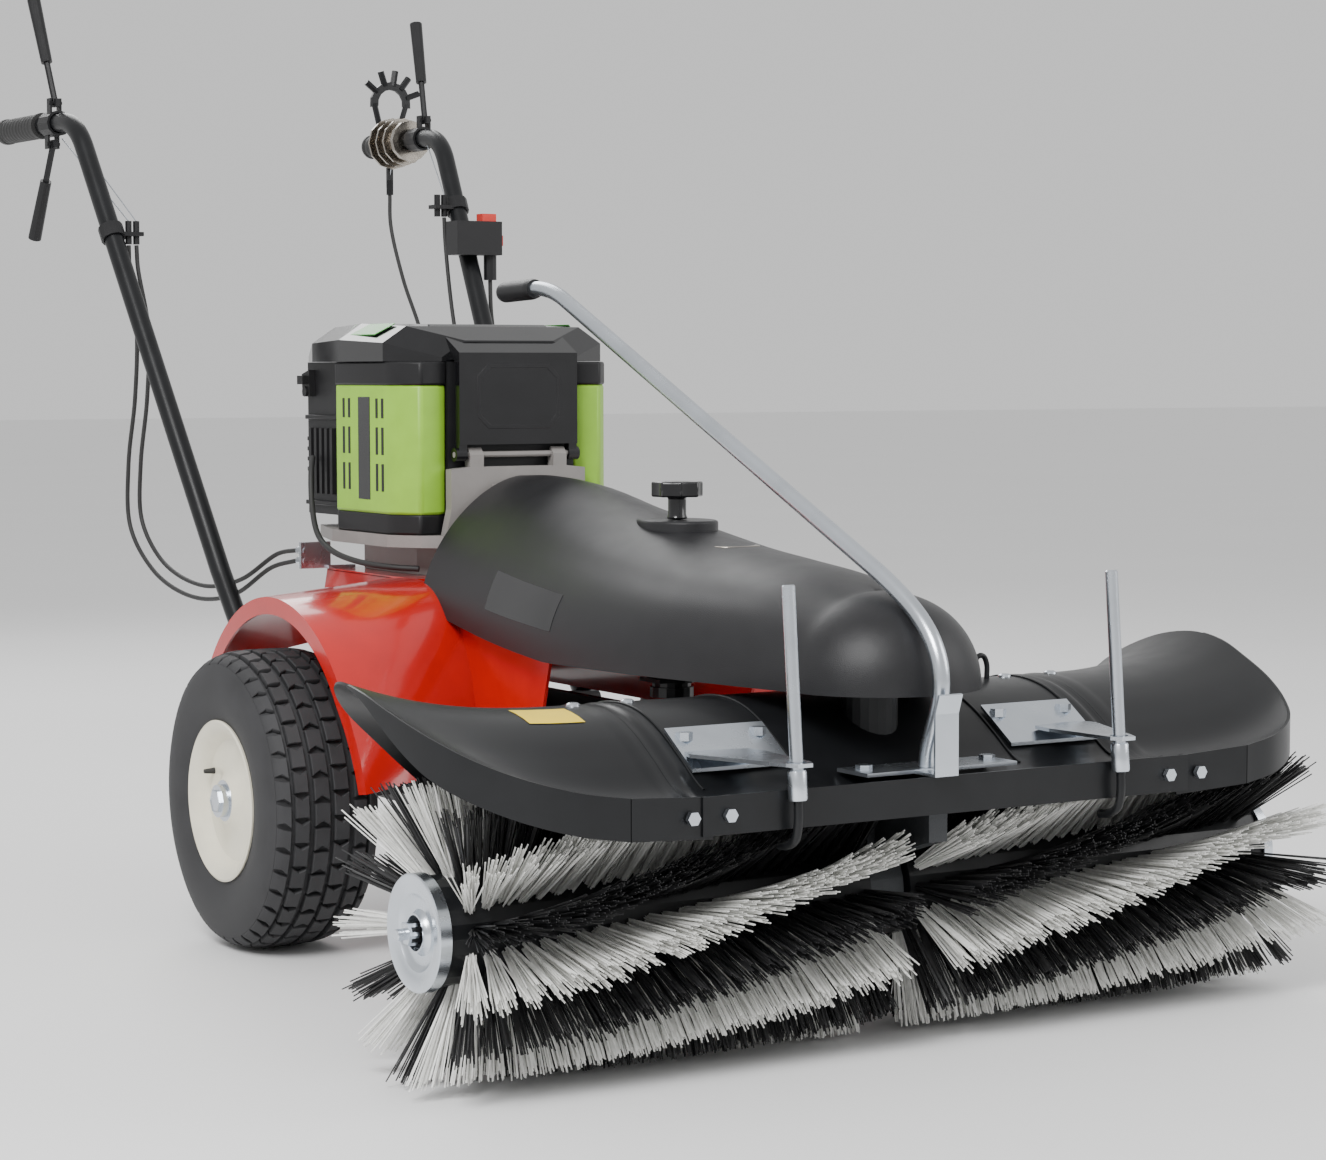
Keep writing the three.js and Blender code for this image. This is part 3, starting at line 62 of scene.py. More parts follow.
def mix(a, b, t):
    return a + (b - a) * t


def clamp(value, low=0.0, high=1.0):
    return max(low, min(high, value))


# ---- camera, floor and light --------------------------------------------------------------------
AZIMUTH, PITCH, ROLL = (math.radians(angle) for angle in (31.2, 4.0, -0.1))
camera = bpy.data.objects.new("camera", bpy.data.cameras.new("camera"))
bpy.context.scene.collection.objects.link(camera)
bpy.context.scene.camera = camera
camera.data.sensor_width = 36
camera.data.lens = 81.45
camera.data.clip_end = 200
forward = Vector((math.sin(AZIMUTH) * math.cos(PITCH), math.cos(AZIMUTH) * math.cos(PITCH), -math.sin(PITCH)))
camera.location = at(-1886.4, -2648.6, 728.6)
aim = forward.to_track_quat("-Z", "Y").to_matrix()
camera.rotation_euler = (aim @ Matrix.Rotation(ROLL, 3, "Z")).to_euler()

world = bpy.data.worlds.new("studio")
bpy.context.scene.world = world
world.use_nodes = True
world.node_tree.nodes["Background"].inputs["Color"].default_value = (1, 1, 1, 1)
world.node_tree.nodes["Background"].inputs["Strength"].default_value = 0.8


def light(name, place, target, power, size):
    lamp = bpy.data.lights.new(name, "AREA")
    lamp.energy, lamp.size = power, size
    lamp_object = bpy.data.objects.new(name, lamp)
    bpy.context.scene.collection.objects.link(lamp_object)
    lamp_object.location = place
    lamp_object.rotation_euler = (Vector(target) - Vector(place)).to_track_quat("-Z", "Y").to_euler()


light("key", (-2.6, -2.4, 3.4), (0, 0, 0.4), 210, 1.8)
light("fill", (3.2, -2.8, 2.2), (0, 0, 0.4), 60, 2.4)
light("back", (0.6, 3.4, 3.0), (0, 0, 0.5), 70, 2.2)


# ---- materials ----------------------------------------------------------------------------------
def material(name, colour, rough, metal=0.0, coat=0.0, shade=0.12, spots=30.0, grain=400.0, bump=0.05,
             rough_vary=0.08, specular=0.5):
    """A surface with uneven colour (spots per metre), uneven roughness and a fine grain."""
    made = bpy.data.materials.new(name)
    made.use_nodes = True
    tree = made.node_tree
    shader = tree.nodes["Principled BSDF"]
    shader.inputs["Metallic"].default_value = metal
    shader.inputs["Coat Weight"].default_value = coat
    shader.inputs["Specular IOR Level"].default_value = specular
    shader.inputs["Coat Roughness"].default_value = 0.08
    place = tree.nodes.new("ShaderNodeTexCoord").outputs["Object"]

    def noise(scale, detail):
        node = tree.nodes.new("ShaderNodeTexNoise")
        node.inputs["Scale"].default_value = scale
        node.inputs["Detail"].default_value = detail
        tree.links.new(place, node.inputs["Vector"])
        return node.outputs["Fac"]

    blotch, fine = noise(spots, 5), noise(grain, 3)
    ramp = tree.nodes.new("ShaderNodeValToRGB")
    ramp.color_ramp.elements[0].position, ramp.color_ramp.elements[1].position = 0.3, 0.7
    ramp.color_ramp.elements[0].color = (*[c * (1 - shade) for c in colour], 1)
    ramp.color_ramp.elements[1].color = (*[min(1.0, c * (1 + shade)) for c in colour], 1)
    tree.links.new(blotch, ramp.inputs["Fac"])
    tree.links.new(ramp.outputs["Color"], shader.inputs["Base Color"])
    spread = tree.nodes.new("ShaderNodeMapRange")
    spread.inputs["To Min"].default_value = max(0.02, rough - rough_vary)
    spread.inputs["To Max"].default_value = min(1.0, rough + rough_vary)
    tree.links.new(blotch, spread.inputs["Value"])
    tree.links.new(spread.outputs["Result"], shader.inputs["Roughness"])
    relief = tree.nodes.new("ShaderNodeBump")
    relief.inputs["Strength"].default_value = bump
    relief.inputs["Distance"].default_value = 0.001
    tree.links.new(fine, relief.inputs["Height"])
    tree.links.new(relief.outputs["Normal"], shader.inputs["Normal"])
    return made


LOOKS = {
    "red_paint": material("red_paint", (0.50, 0.006, 0.004), 0.2, coat=0.6, shade=0.05, grain=150, bump=0.02),
    "black_paint": material("black_paint", (0.008, 0.0085, 0.0095), 0.32, grain=900, bump=0.05, specular=0.3),
    "hood_plastic": material("hood_plastic", (0.017, 0.017, 0.0185), 0.38, shade=0.1, grain=1100,
                             bump=0.3, specular=0.3),
    "gloss_black": material("gloss_black", (0.006, 0.006, 0.007), 0.14, coat=0.2, grain=300, bump=0.01,
                            rough_vary=0.04),
    "black_plastic": material("black_plastic", (0.012, 0.012, 0.013), 0.42, grain=1200, bump=0.2,
                              specular=0.3),
    "grey_plastic": material("grey_plastic", (0.24, 0.225, 0.215), 0.5, shade=0.06, grain=1300, bump=0.2),
    "green_plastic": material("green_plastic", (0.27, 0.54, 0.035), 0.4, shade=0.06, grain=1300, bump=0.15),
    "red_plastic": material("red_plastic", (0.6, 0.025, 0.012), 0.35, shade=0.08, grain=900, bump=0.1),
    "black_rubber": material("black_rubber", (0.02, 0.02, 0.02), 0.6, grain=1500, bump=0.25),
    "tyre_rubber": material("tyre_rubber", (0.026, 0.026, 0.028), 0.68, shade=0.2, grain=1400, bump=0.35),
    "cream_rim": material("cream_rim", (0.78, 0.74, 0.60), 0.32, coat=0.2, shade=0.05, grain=500, bump=0.05),
    "castings": material("castings", (0.045, 0.048, 0.052), 0.5, metal=0.4, shade=0.2, grain=500, bump=0.5),
    "zinc": material("zinc", (0.62, 0.66, 0.71), 0.27, metal=1, shade=0.07, spots=14, grain=900,
                     bump=0.05, rough_vary=0.05),
    "pulley_steel": material("pulley_steel", (0.38, 0.39, 0.41), 0.38, metal=1, shade=0.15, spots=80,
                             bump=0.1),
    "nickel": material("nickel", (0.36, 0.33, 0.29), 0.24, metal=1, shade=0.12, spots=70, bump=0.06),
    "bristle": material("bristle", (0.014, 0.014, 0.015), 0.42, shade=0.35, spots=160, grain=900, bump=0.1),
}
WHITE = material("bristle_white", (0.80, 0.80, 0.77), 0.42, shade=0.1, spots=160, grain=900, bump=0.1)
YELLOW = material("label_yellow", (0.80, 0.58, 0.02), 0.4, shade=0.04, grain=900, bump=0.05)
WINDOW = material("window_green", (0.06, 0.30, 0.05), 0.34, coat=0.0, shade=0.2, grain=300, bump=0.02)


# ---- mesh helpers -------------------------------------------------------------------------------
class Shape:
    """Vertices and faces of one piece, collected from parts."""

    def __init__(self):
        self.points, self.faces = [], []

    def take(self, points, faces):
        start = len(self.points)
        self.points += [Vector(p) for p in points]
        self.faces += [[start + i for i in face] for face in faces]
        return self

    def finish(self, name, body, look, slot, angle=35, bevel=0.0, stands_for=()):
        mesh = bpy.data.meshes.new(name)
        mesh.from_pydata(self.points, [], self.faces)
        work = bmesh.new()
        work.from_mesh(mesh)
        bmesh.ops.recalc_face_normals(work, faces=work.faces)
        work.to_mesh(mesh)
        work.free()
        mesh.shade_smooth()
        mesh.set_sharp_from_angle(angle=math.radians(angle))
        made = bpy.data.objects.new(name, mesh)
        bpy.context.scene.collection.objects.link(made)
        mesh.materials.append(look)
        if bevel:
            soften(made, bevel)
        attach(made, body)
        if stands_for:
            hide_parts(*stands_for)
        return made


def soften(piece, width):
    edge = piece.modifiers.new("edge", "BEVEL")
    edge.width, edge.segments = width, 2
    edge.limit_method, edge.angle_limit = "ANGLE", math.radians(40)
    edge.use_clamp_overlap = True


def grid_faces(rows, columns, closed=False, start=0):
    wrap = columns if closed else columns - 1
    faces = []
    for i in range(rows - 1):
        for j in range(wrap):
            k = (j + 1) % columns
            faces.append([start + i * columns + j, start + i * columns + k,
                          start + (i + 1) * columns + k, start + (i + 1) * columns + j])
    return faces


def revolve(shape, profile, centre, axis="X", sides=72):
    """(along the axis, radius) pairs turned about an axis through centre, in mm:
    a ring if the profile ends where it starts, and otherwise a solid with flat ends."""
    points = []
    for along, radius in profile:
        for k in range(sides):
            turn = 2 * math.pi * k / sides
            c, s = radius * math.cos(turn), radius * math.sin(turn)
            offset = {"X": (along, c, s), "Y": (c, along, s), "Z": (c, s, along)}[axis]
            points.append(at(*[a + b for a, b in zip(centre, offset)]))
    faces = grid_faces(len(profile), sides, closed=True)
    if profile[0] != profile[-1]:
        last = (len(profile) - 1) * sides
        faces += [list(range(sides)), [last + k for k in range(sides)]]
    return shape.take(points, faces)


def tube(shape, path, radius, sides=20):
    """A round tube with closed ends along points in mm; radius is a number or a function of 0 to 1."""
    line = [at(*p) for p in path]
    size = radius if callable(radius) else lambda t: radius
    normal = (line[1] - line[0]).orthogonal().normalized()
    points = []
    for i, point in enumerate(line):
        ahead = (line[min(i + 1, len(line) - 1)] - line[max(i - 1, 0)]).normalized()
        normal = (normal - ahead * normal.dot(ahead)).normalized()
        side = ahead.cross(normal)
        r = size(i / (len(line) - 1)) * MM
        for k in range(sides):
            turn = 2 * math.pi * k / sides
            points.append(point + normal * (r * math.cos(turn)) + side * (r * math.sin(turn)))
    last = (len(line) - 1) * sides
    faces = grid_faces(len(line), sides, closed=True)
    return shape.take(points, faces + [list(range(sides)), [last + k for k in range(sides)]])


def plate(shape, outline, axis, low, high):
    """An outline pushed along an axis: (y, z) for X, (x, z) for Y, (x, y) for Z, in mm."""
    order = {
        "X": lambda a, b, c: (c, a, b),
        "Y": lambda a, b, c: (a, c, b),
        "Z": lambda a, b, c: (a, b, c),
    }[axis]
    count = len(outline)
    points = [at(*order(a, b, c)) for c in (low, high) for a, b in outline]
    sides = [[k, (k + 1) % count, count + (k + 1) % count, count + k] for k in range(count)]
    return shape.take(points, sides + [list(range(count)), list(range(count, 2 * count))])


def block(shape, x0, x1, y0, y1, z0, z1):
    return plate(shape, [(x0, y0), (x1, y0), (x1, y1), (x0, y1)], "Z", z0, z1)


def hexagon(shape, centre, axis, radius, low, high):
    return revolve(shape, [(low, radius), (high - 1, radius), (high, radius - 1.2)], centre, axis, 6)


def sheet(shape, surface, across, along, depth):
    """A sheet of the given depth inside a surface of two numbers from 0 to 1, in mm."""
    step = 1e-3

    def inner(u, v):
        du = Vector(surface(min(u + step, 1), v)) - Vector(surface(max(u - step, 0), v))
        dv = Vector(surface(u, min(v + step, 1))) - Vector(surface(u, max(v - step, 0)))
        return Vector(surface(u, v)) + du.cross(dv).normalized() * depth

    count = (across + 1) * (along + 1)
    cells = [(i / across, j / along) for i in range(across + 1) for j in range(along + 1)]
    points = [at(*surface(u, v)) for u, v in cells] + [at(*inner(u, v)) for u, v in cells]
    faces = grid_faces(across + 1, along + 1) + grid_faces(across + 1, along + 1, start=count)
    row = along + 1
    border = [j for j in range(row)] + [i * row + along for i in range(1, across + 1)]
    border += [across * row + j for j in range(along - 1, -1, -1)]
    border += [i * row for i in range(across - 1, 0, -1)]
    faces += [[border[k], border[(k + 1) % len(border)], count + border[(k + 1) % len(border)],
               count + border[k]]
              for k in range(len(border))]
    return shape.take(points, faces)


def centripetal(points, count):
    """Points along a smooth curve through the given ones."""
    given = [Vector(p) for p in points]
    ends = [given[0] * 2 - given[1]] + given + [given[-1] * 2 - given[-2]]
    curve = []
    for step in range(count + 1):
        place = step / count * (len(given) - 1)
        i = min(int(place), len(given) - 2)
        t = place - i
        a, b, c, d = ends[i : i + 4]
        gaps = [max((q - p).length ** 0.5, 1e-6) for p, q in ((a, b), (b, c), (c, d))]
        m0 = ((b - a) / gaps[0] - (c - a) / (gaps[0] + gaps[1]) + (c - b) / gaps[1]) * gaps[1]
        m1 = ((c - b) / gaps[1] - (d - b) / (gaps[1] + gaps[2]) + (d - c) / gaps[2]) * gaps[1]
        curve.append((2 * t**3 - 3 * t**2 + 1) * b + (t**3 - 2 * t**2 + t) * m0
                     + (3 * t**2 - 2 * t**3) * c + (t**3 - t**2) * m1)
    return curve


def smooth(stations):
    def value(place):
        last = len(stations) - 1
        if place <= stations[0][0]:
            return stations[0][1]
        if place >= stations[last][0]:
            return stations[last][1]
        i = next(k for k in range(last) if stations[k + 1][0] > place)

        def slope(k):
            low, high = max(k - 1, 0), min(k + 1, last)
            return (stations[high][1] - stations[low][1]) / (stations[high][0] - stations[low][0])

        (p0, p1), (q0, q1) = stations[i], stations[i + 1]
        span = q0 - p0
        t = (place - p0) / span
        return ((2 * t**3 - 3 * t**2 + 1) * p1 + (t**3 - 2 * t**2 + t) * span * slope(i)
                + (3 * t**2 - 2 * t**3) * q1 + (t**3 - t**2) * span * slope(i + 1))

    return value


# ---- handles, and the cables that hang from them ------------------------------------------------
GRIP_HEIGHT = 1101
BEND = Vector((303, 1648, 1100))
FOOT = Vector((250, 1225, 425))


def grip_at(y, side=1):
    return Vector((side * mix(303, 315, (y - 1648) / 270), y, GRIP_HEIGHT))


def along_tube(height, side=1):
    point = BEND.lerp(FOOT, (1100 - height) / (1100 - 425))
    return Vector((side * point.x, point.y, point.z))


ANCHOR = Vector((-190, 1092, 470))
left, right, switch = along_tube(930), along_tube(985), along_tube(935) + Vector((8, -42, 0))
gate_x = grip_at(1850).x
CABLES = {
    "cable_left_a": (3.2, [
        (36 - left.x, left.y - 4, left.z - 17.3), (37 - left.x, left.y - 6, left.z - 50), (-250, 1504, 790),
        (-247, 1520, 690), (-241, 1565, 590), (-237, 1575, 510), (-230, 1521, 453), (-222, 1389, 421),
        (-212, 1262, 436), (ANCHOR.x - 6, ANCHOR.y + 80, ANCHOR.z + 6),
        (ANCHOR.x, ANCHOR.y + 24, ANCHOR.z + 14)]),
    "cable_left_b": (3.2, [
        (24 - left.x, left.y - 4, left.z - 17.3), (25 - left.x, left.y - 4, left.z - 50), (-261, 1522, 790),
        (-258, 1540, 690), (-252, 1586, 590), (-248, 1594, 500), (-240, 1530, 438), (-232, 1392, 404),
        (-221, 1262, 416), (ANCHOR.x - 14, ANCHOR.y + 80, ANCHOR.z - 12),
        (ANCHOR.x, ANCHOR.y + 24, ANCHOR.z)]),
    "drive_cable": (3.2, [
        (right.x - 24, right.y - 4, right.z - 17.3), (right.x - 24, right.y - 8, right.z - 60),
        (right.x - 32, right.y - 50, right.z - 180), (248, 1440, 660), (230, 1350, 540), (205, 1262, 440),
        (184, 1190, 385), (166, 1142, 356), (157, 1118, 346)]),
    "selector_cable": (3.2, [
        (gate_x, 1850, 1017.7), (gate_x, 1848, 970), (gate_x - 2, 1800, 880), (gate_x - 10, 1720, 790),
        (274, 1620, 680), (246, 1500, 560), (216, 1370, 460), (198, 1270, 400), (178, 1190, 352),
        (165, 1142, 330), (157, 1116, 322)]),
    "switch_lead": (3.4, [
        (switch.x + 16, switch.y, switch.z - 66.3), (switch.x + 16, switch.y - 2, switch.z - 110),
        (switch.x + 4, switch.y - 40, switch.z - 210), (222, 1380, 650), (184, 1340, 606), (132, 1302, 585),
        (98, 1262, 580), (88, 1217, 583)]),
    "motor_lead": (4, [
        (-156, 1140, 610), (-166, 1124, 590), (-176, 1100, 545), (-186, 1060, 508), (-188, 1010, 488),
        (-176, 950, 476), (-152, 905, 471), (-124, 880, 469)]),
}
for name, (radius, route) in CABLES.items():
    path = centripetal(route, 90)
    cable = tube(Shape(), path, radius, 12).finish(
        name + "_sheath", "root", LOOKS["black_rubber"], "black_rubber", 60, stands_for=[name])
    line = [at(*p) for p in path]
    length = sum((b - a).length for a, b in zip(line, line[1:]))

# The bare wires from the levers and the selector down to their adjusters.
for name, start, end in (
    ("wire_left_upper", (-307, 1720, 1116), (-left.x + 36, left.y - 4, 948)),
    ("wire_left_lower", (-300, 1716, 1078), (-left.x + 24, left.y - 4, 948)),
    ("wire_right", (305, 1716, 1116), (right.x - 24, right.y - 4, 1003)),
    ("wire_selector", (gate_x, 1846, 1060), (gate_x, 1850, 1042)),
):
    tube(Shape(), [Vector(start).lerp(Vector(end), k / 6) for k in range(7)], 0.9, 8).finish(
        name, "root", LOOKS["zinc"], "zinc", 60)

def arc(start, bend, end, count):
    """Points of a curve from start to end, pulled towards bend."""
    return [start * (1 - t) ** 2 + bend * 2 * t * (1 - t) + end * t * t
            for t in (k / count for k in range(count + 1))]


for side, word in ((-1, "left"), (1, "right")):
    bend, foot = (Vector((side * p.x, p.y, p.z)) for p in (BEND, FOOT))
    down = (foot - bend).normalized()
    before, after, toe = bend + down * 48, grip_at(1700, side), foot - down * 30
    rise = Vector((0, math.cos(math.radians(48)), math.sin(math.radians(48))))
    seat = Vector((side * 244, 1084, 256)) + rise * 14.6
    path = arc(seat, seat + rise * 84, toe, 16)[:-1]
    path += [toe.lerp(before, k / 8) for k in range(8)] + arc(before, bend, after, 16)[:-1]
    path += [after.lerp(grip_at(1912, side), k / 6) for k in range(7)]
    tube(Shape(), path, 14.2, 28).finish(
        "tube_" + word, "root", LOOKS["black_paint"], "black_paint", 50, stands_for=["handle_tube_" + word])
    start = 1774 if side < 0 else 1860
    length = 1921 - start

    def ribbed(t):
        ridge = 1.5 if 0.12 < t < 0.88 and int(t * length / 6) % 2 else 0.0
        return 18.2 + ridge * 0.5 + (1.6 if t < 0.08 or t > 0.92 else 0.0)

    tube(Shape(), [grip_at(start, side).lerp(grip_at(1921, side), k / 100) for k in range(101)], ribbed,
         32).finish(
        "sleeve_" + word, "root", LOOKS["black_rubber"], "black_rubber", 40, stands_for=["grip_" + word])

# ---- wheels -------------------------------------------------------------------------------------
AXLE = (354, 845, 189)
CROWN = smooth([(0, 188.6), (30, 188.2), (44, 186.4), (56, 182.5), (64, 177.5), (70, 171)])
BLOCK_ROWS = ((-60, 17), (-39, 19), (-13, 22), (13, 22), (39, 19), (60, 17))
BLOCKS_ROUND, GROOVE = 38, 7.0

for side, word in ((-1, "left"), (1, "right")):
    centre = (side * AXLE[0], AXLE[1], AXLE[2])
    wall = [(67, 94.3), (67, 104), (69, 108), (70, 112), (73.5, 122), (75, 136), (74.4, 150), (72, 163),
            (68, 172)]
    tread = [(x, CROWN(abs(x)) - GROOVE) for x in (60, 48, 34, 18, 0, -18, -34, -48, -60)]
    profile = wall + tread + [(-x, r) for x, r in reversed(wall)] + wall[:1]
    rubber = revolve(Shape(), profile, centre, sides=96)
    for row, (middle, wide) in enumerate(BLOCK_ROWS):
        for k in range(BLOCKS_ROUND):
            points = []
            for depth in (GROOVE - 0.2, -0.5, 0):
                shrink = 1.0 if depth else 0.9
                for u, v in ((-1, -1), (-1, 0), (-1, 1), (0, 1), (1, 1), (1, 0), (1, -1), (0, -1)):
                    x = middle + u * shrink * (wide / 2 - 1)
                    wave = 0.16 * math.sin(x / 26 * math.pi) + (0.5 if row % 2 else 0.0)
                    step = (k + wave + v * shrink * 0.36 + 0.08 * v * abs(u)) / BLOCKS_ROUND
                    turn = 2 * math.pi * step
                    r = CROWN(abs(x)) - (depth if depth > 0 else (1.2 if depth < 0 else 0))
                    points.append(at(centre[0] + x, centre[1] + r * math.cos(turn),
                                     centre[2] + r * math.sin(turn)))
            rubber.take(points, grid_faces(3, 8, closed=True) + [list(range(8)), list(range(16, 24))])
    rubber.finish("tread_" + word, "wheel_" + word, LOOKS["tyre_rubber"], "tyre_rubber", 38,
                  stands_for=["tyre_" + word])
    face = [(66.7, 94), (66.9, 101.5), (69.5, 102), (70.8, 99.5), (69, 95), (66, 90), (62, 85.5), (54, 80),
            (50.6, 77), (50, 72), (50.4, 60), (52.5, 46), (56, 36), (62, 29), (64, 26), (64, 11.2),
            (-50, 11.2),
            (-50, 24), (42, 30), (42, 86), (-66, 88), (-70.8, 99.5), (-69.5, 102), (-66.9, 101.5),
            (-66.7, 94)]
    shell = [(side * x, r) for x, r in face]
    revolve(Shape(), shell + shell[:1], centre, sides=96).finish(
        "dish_" + word, "wheel_" + word, LOOKS["cream_rim"], "cream_rim", 40, stands_for=["rim_" + word])
    washer_section = ((52.6, 31), (64.2, 26), (64.3, 12), (52.6, 12), (52.6, 31))
    washer = revolve(Shape(), [(side * x, r) for x, r in washer_section], centre)
    washer.finish("hub_cap_" + word, "wheel_" + word, LOOKS["zinc"], "zinc", 30)
    nut = revolve(Shape(), [(side * 418.4, 20.6), (side * 426.8, 20.6)], (0, 845, 189), sides=48)
    hexagon(nut, (0, 845, 189), "X", 15, side * 426.6, side * 429.6)
    nut.finish("axle_nut_" + word, "root", LOOKS["zinc"], "zinc", 30)
    valve = [(centre[0] + side * x, centre[1] + 62, centre[2] + 30) for x in (50, 54, 60, 64)]
    tube(Shape(), valve, lambda t: 4.2 - 1.5 * t, 12).finish(
        "valve_" + word, "wheel_" + word, LOOKS["black_rubber"], "black_rubber", 40)

# ---- brush --------------------------------------------------------------------------------------
BRUSH = (0, 45, 162)
ROWS, TUFTS, FILAMENTS = 14, 24, 34
TWIST = math.radians(48)
random.seed(7)
for side, word in ((-1, "left"), (1, "right")):
    for shade, look in (("black", LOOKS["bristle"]), ("white", WHITE)):
        tufts = Shape()
        points, faces = [], []
        for row in range(ROWS):
            if (row % 2 == 0) != (shade == "black"):
                continue
            for k in range(TUFTS):
                share = (k + (0.25 if row % 2 else 0.0)) / TUFTS
                base_x = mix(36, 528, share)
                turn = 2 * math.pi * row / ROWS + TWIST * share * side
                end = clamp((share - 0.80) / 0.2)
                for _ in range(FILAMENTS):
                    spread = math.sqrt(random.random())
                    swing = random.random() * 2 * math.pi
                    out, round_ = spread * math.cos(swing), spread * math.sin(swing)
                    start_x = base_x + 6 * out
                    tip_x = base_x + 16 * out + end**1.5 * 66 * (0.6 + 0.5 * random.random())
                    tip_x = clamp(tip_x, 27.5, 590.0)
                    start_turn = turn + 6 * round_ / 57
                    tip_turn = turn + 17 * round_ / 158
                    reach = mix(149.0, 161.0, random.random() ** 0.7) - end * 4
                    wide = 1.15
                    first = len(points)
                    for x, angle, r, w in ((start_x, start_turn, 56.5, wide),
                                           (tip_x, tip_turn, reach, wide * 0.8)):
                        for corner in range(3):
                            c = corner * 2 * math.pi / 3 + swing
                            a = angle + w * math.sin(c) / r
                            points.append(at(side * clamp(x + w * math.cos(c), 26.5, 591.5),
                                             BRUSH[1] - r * math.cos(a), BRUSH[2] + r * math.sin(a)))
                    faces += [[first, first + 1, first + 4, first + 3],
                              [first + 1, first + 2, first + 5, first + 4],
                              [first + 2, first, first + 3, first + 5], [first + 3, first + 4, first + 5]]
        tufts.take(points, faces)
        tufts.finish(f"tufts_{shade}_{word}", "brush", look, "bristle", 70,
                     stands_for=["bristles_" + word] if shade == "black" else ())
    near = 537.3
    disc = [(near, 18.3), (near, 60.8), (near + 12.5, 60.8), (near + 13.7, 59.5), (near + 13.9, 56),
            (near + 11, 46),
            (near + 10, 40), (near + 6, 36.5), (near + 5, 33), (near + 5, 24), (near + 8, 21),
            (near + 12, 20),
            (near + 12, 18.3)]
    disc = [(side * x, r) for x, r in disc]
    revolve(Shape(), disc + disc[:1], BRUSH, sides=96).finish(
        "disc_" + word, "brush", LOOKS["zinc"], "zinc", 35, stands_for=["end_disc_" + word])
    bolt = hexagon(Shape(), BRUSH, "X", 13, side * (near + 12.2), side * (near + 22))
    revolve(bolt, [(side * (near + 21), 6), (side * (near + 32), 6), (side * (near + 33), 5)], BRUSH,
            sides=24)
    bolt.finish("end_bolt_" + word, "brush", LOOKS["zinc"], "zinc", 30)

# ---- hood ---------------------------------------------------------------------------------------
NOSE_Y, REAR = 15, 800
HALF_WIDTH = smooth([(15, 110), (120, 131), (270, 160), (430, 174), (600, 169), (800, 158)])
RIDGE = smooth([(15, 486), (100, 503), (200, 513), (300, 523), (400, 538), (550, 564), (640, 582), (740, 590),
                (826, 588)])
LOWER_EDGE = smooth([(450, 384), (600, 398), (800, 426)])


def hood_surface(u, v):
    part = 0.36
    climb = v * math.pi / 2
    nose = part < u < 1 - part
    y = NOSE_Y if nose else mix(REAR, NOSE_Y, min(u, 1 - u) / part)
    turn = (u - part) / (1 - 2 * part) * math.pi if nose else (0.0 if u < 0.5 else math.pi)
    square = mix(2.15, 1.62, clamp((y - 100) / 600))
    lean = (y - NOSE_Y) / (REAR - NOSE_Y) * v * 26
    crease = 3.2 * math.exp(-(((v - 0.52) / 0.07) ** 2)) * clamp((y - 40) / 200) * clamp((780 - y) / 160)
    out = (HALF_WIDTH(y) - crease) * max(math.cos(climb), 0) ** (2 / square)
    z = mix(LOWER_EDGE(y), RIDGE(y + lean), math.sin(climb) ** (2 / square))
    return (out * math.cos(turn), y + lean - (out * math.sin(turn) if nose else 0), z)


sheet(Shape(), hood_surface, 132, 30, -3).finish(
    "hood_cover", "root", LOOKS["hood_plastic"], "hood_plastic", 60, stands_for=["hood"])


def oval(cx, cy, rx, ry, count=40):
    return [(cx + rx * math.cos(2 * math.pi * k / count), cy + ry * math.sin(2 * math.pi * k / count))
            for k in range(count)]


knob_low, knob_high = (corner[2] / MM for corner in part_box("hood_knob"))
plate(Shape(), oval(0, 433, 46, 58), "Z", RIDGE(380) - 12, knob_low - 0.6).finish(
    "knob_seat", "root", LOOKS["hood_plastic"], "hood_plastic", bevel=0.003)
star = [((32 if k % 2 else 26.5) * math.cos(math.pi * k / 8),
         433 + (32 if k % 2 else 26.5) * math.sin(math.pi * k / 8))
        for k in range(16)]
grip_star = plate(Shape(), star, "Z", knob_low + 27, knob_high - 0.5)
revolve(grip_star, [(knob_low + 0.3, 13), (knob_low + 6, 11), (knob_low + 26, 11), (knob_low + 30, 20)],
        (0, 433, 0), "Z", 40)
revolve(grip_star, [(knob_high - 3, 20), (knob_high - 0.2, 17), (knob_high - 0.1, 9)], (0, 433, 0), "Z", 40)
grip_star.finish("knob_star", "hood_knob", LOOKS["gloss_black"], "gloss_black", bevel=0.0022,
                 stands_for=["hood_knob"])

# The blank oval badge in front of the knob and the blank plate on the side of the hood.
badge = plate(Shape(), oval(0, 300, 30, 20), "Z", RIDGE(300) - 10, RIDGE(300) + 1.2)
badge.finish("badge_oval", "root", LOOKS["nickel"], "nickel", bevel=0.001)


def badge_surface(u, v):
    """A patch on the left side of the hood, standing just proud of it."""
    x, y, z = hood_surface(mix(0.835, 0.915, u), mix(0.16, 0.34, v))
    return (x - 1.4, y, z + 0.5)


sheet(Shape(), badge_surface, 16, 8, -2).finish("badge_side", "root", LOOKS["gloss_black"], "gloss_black", 60)

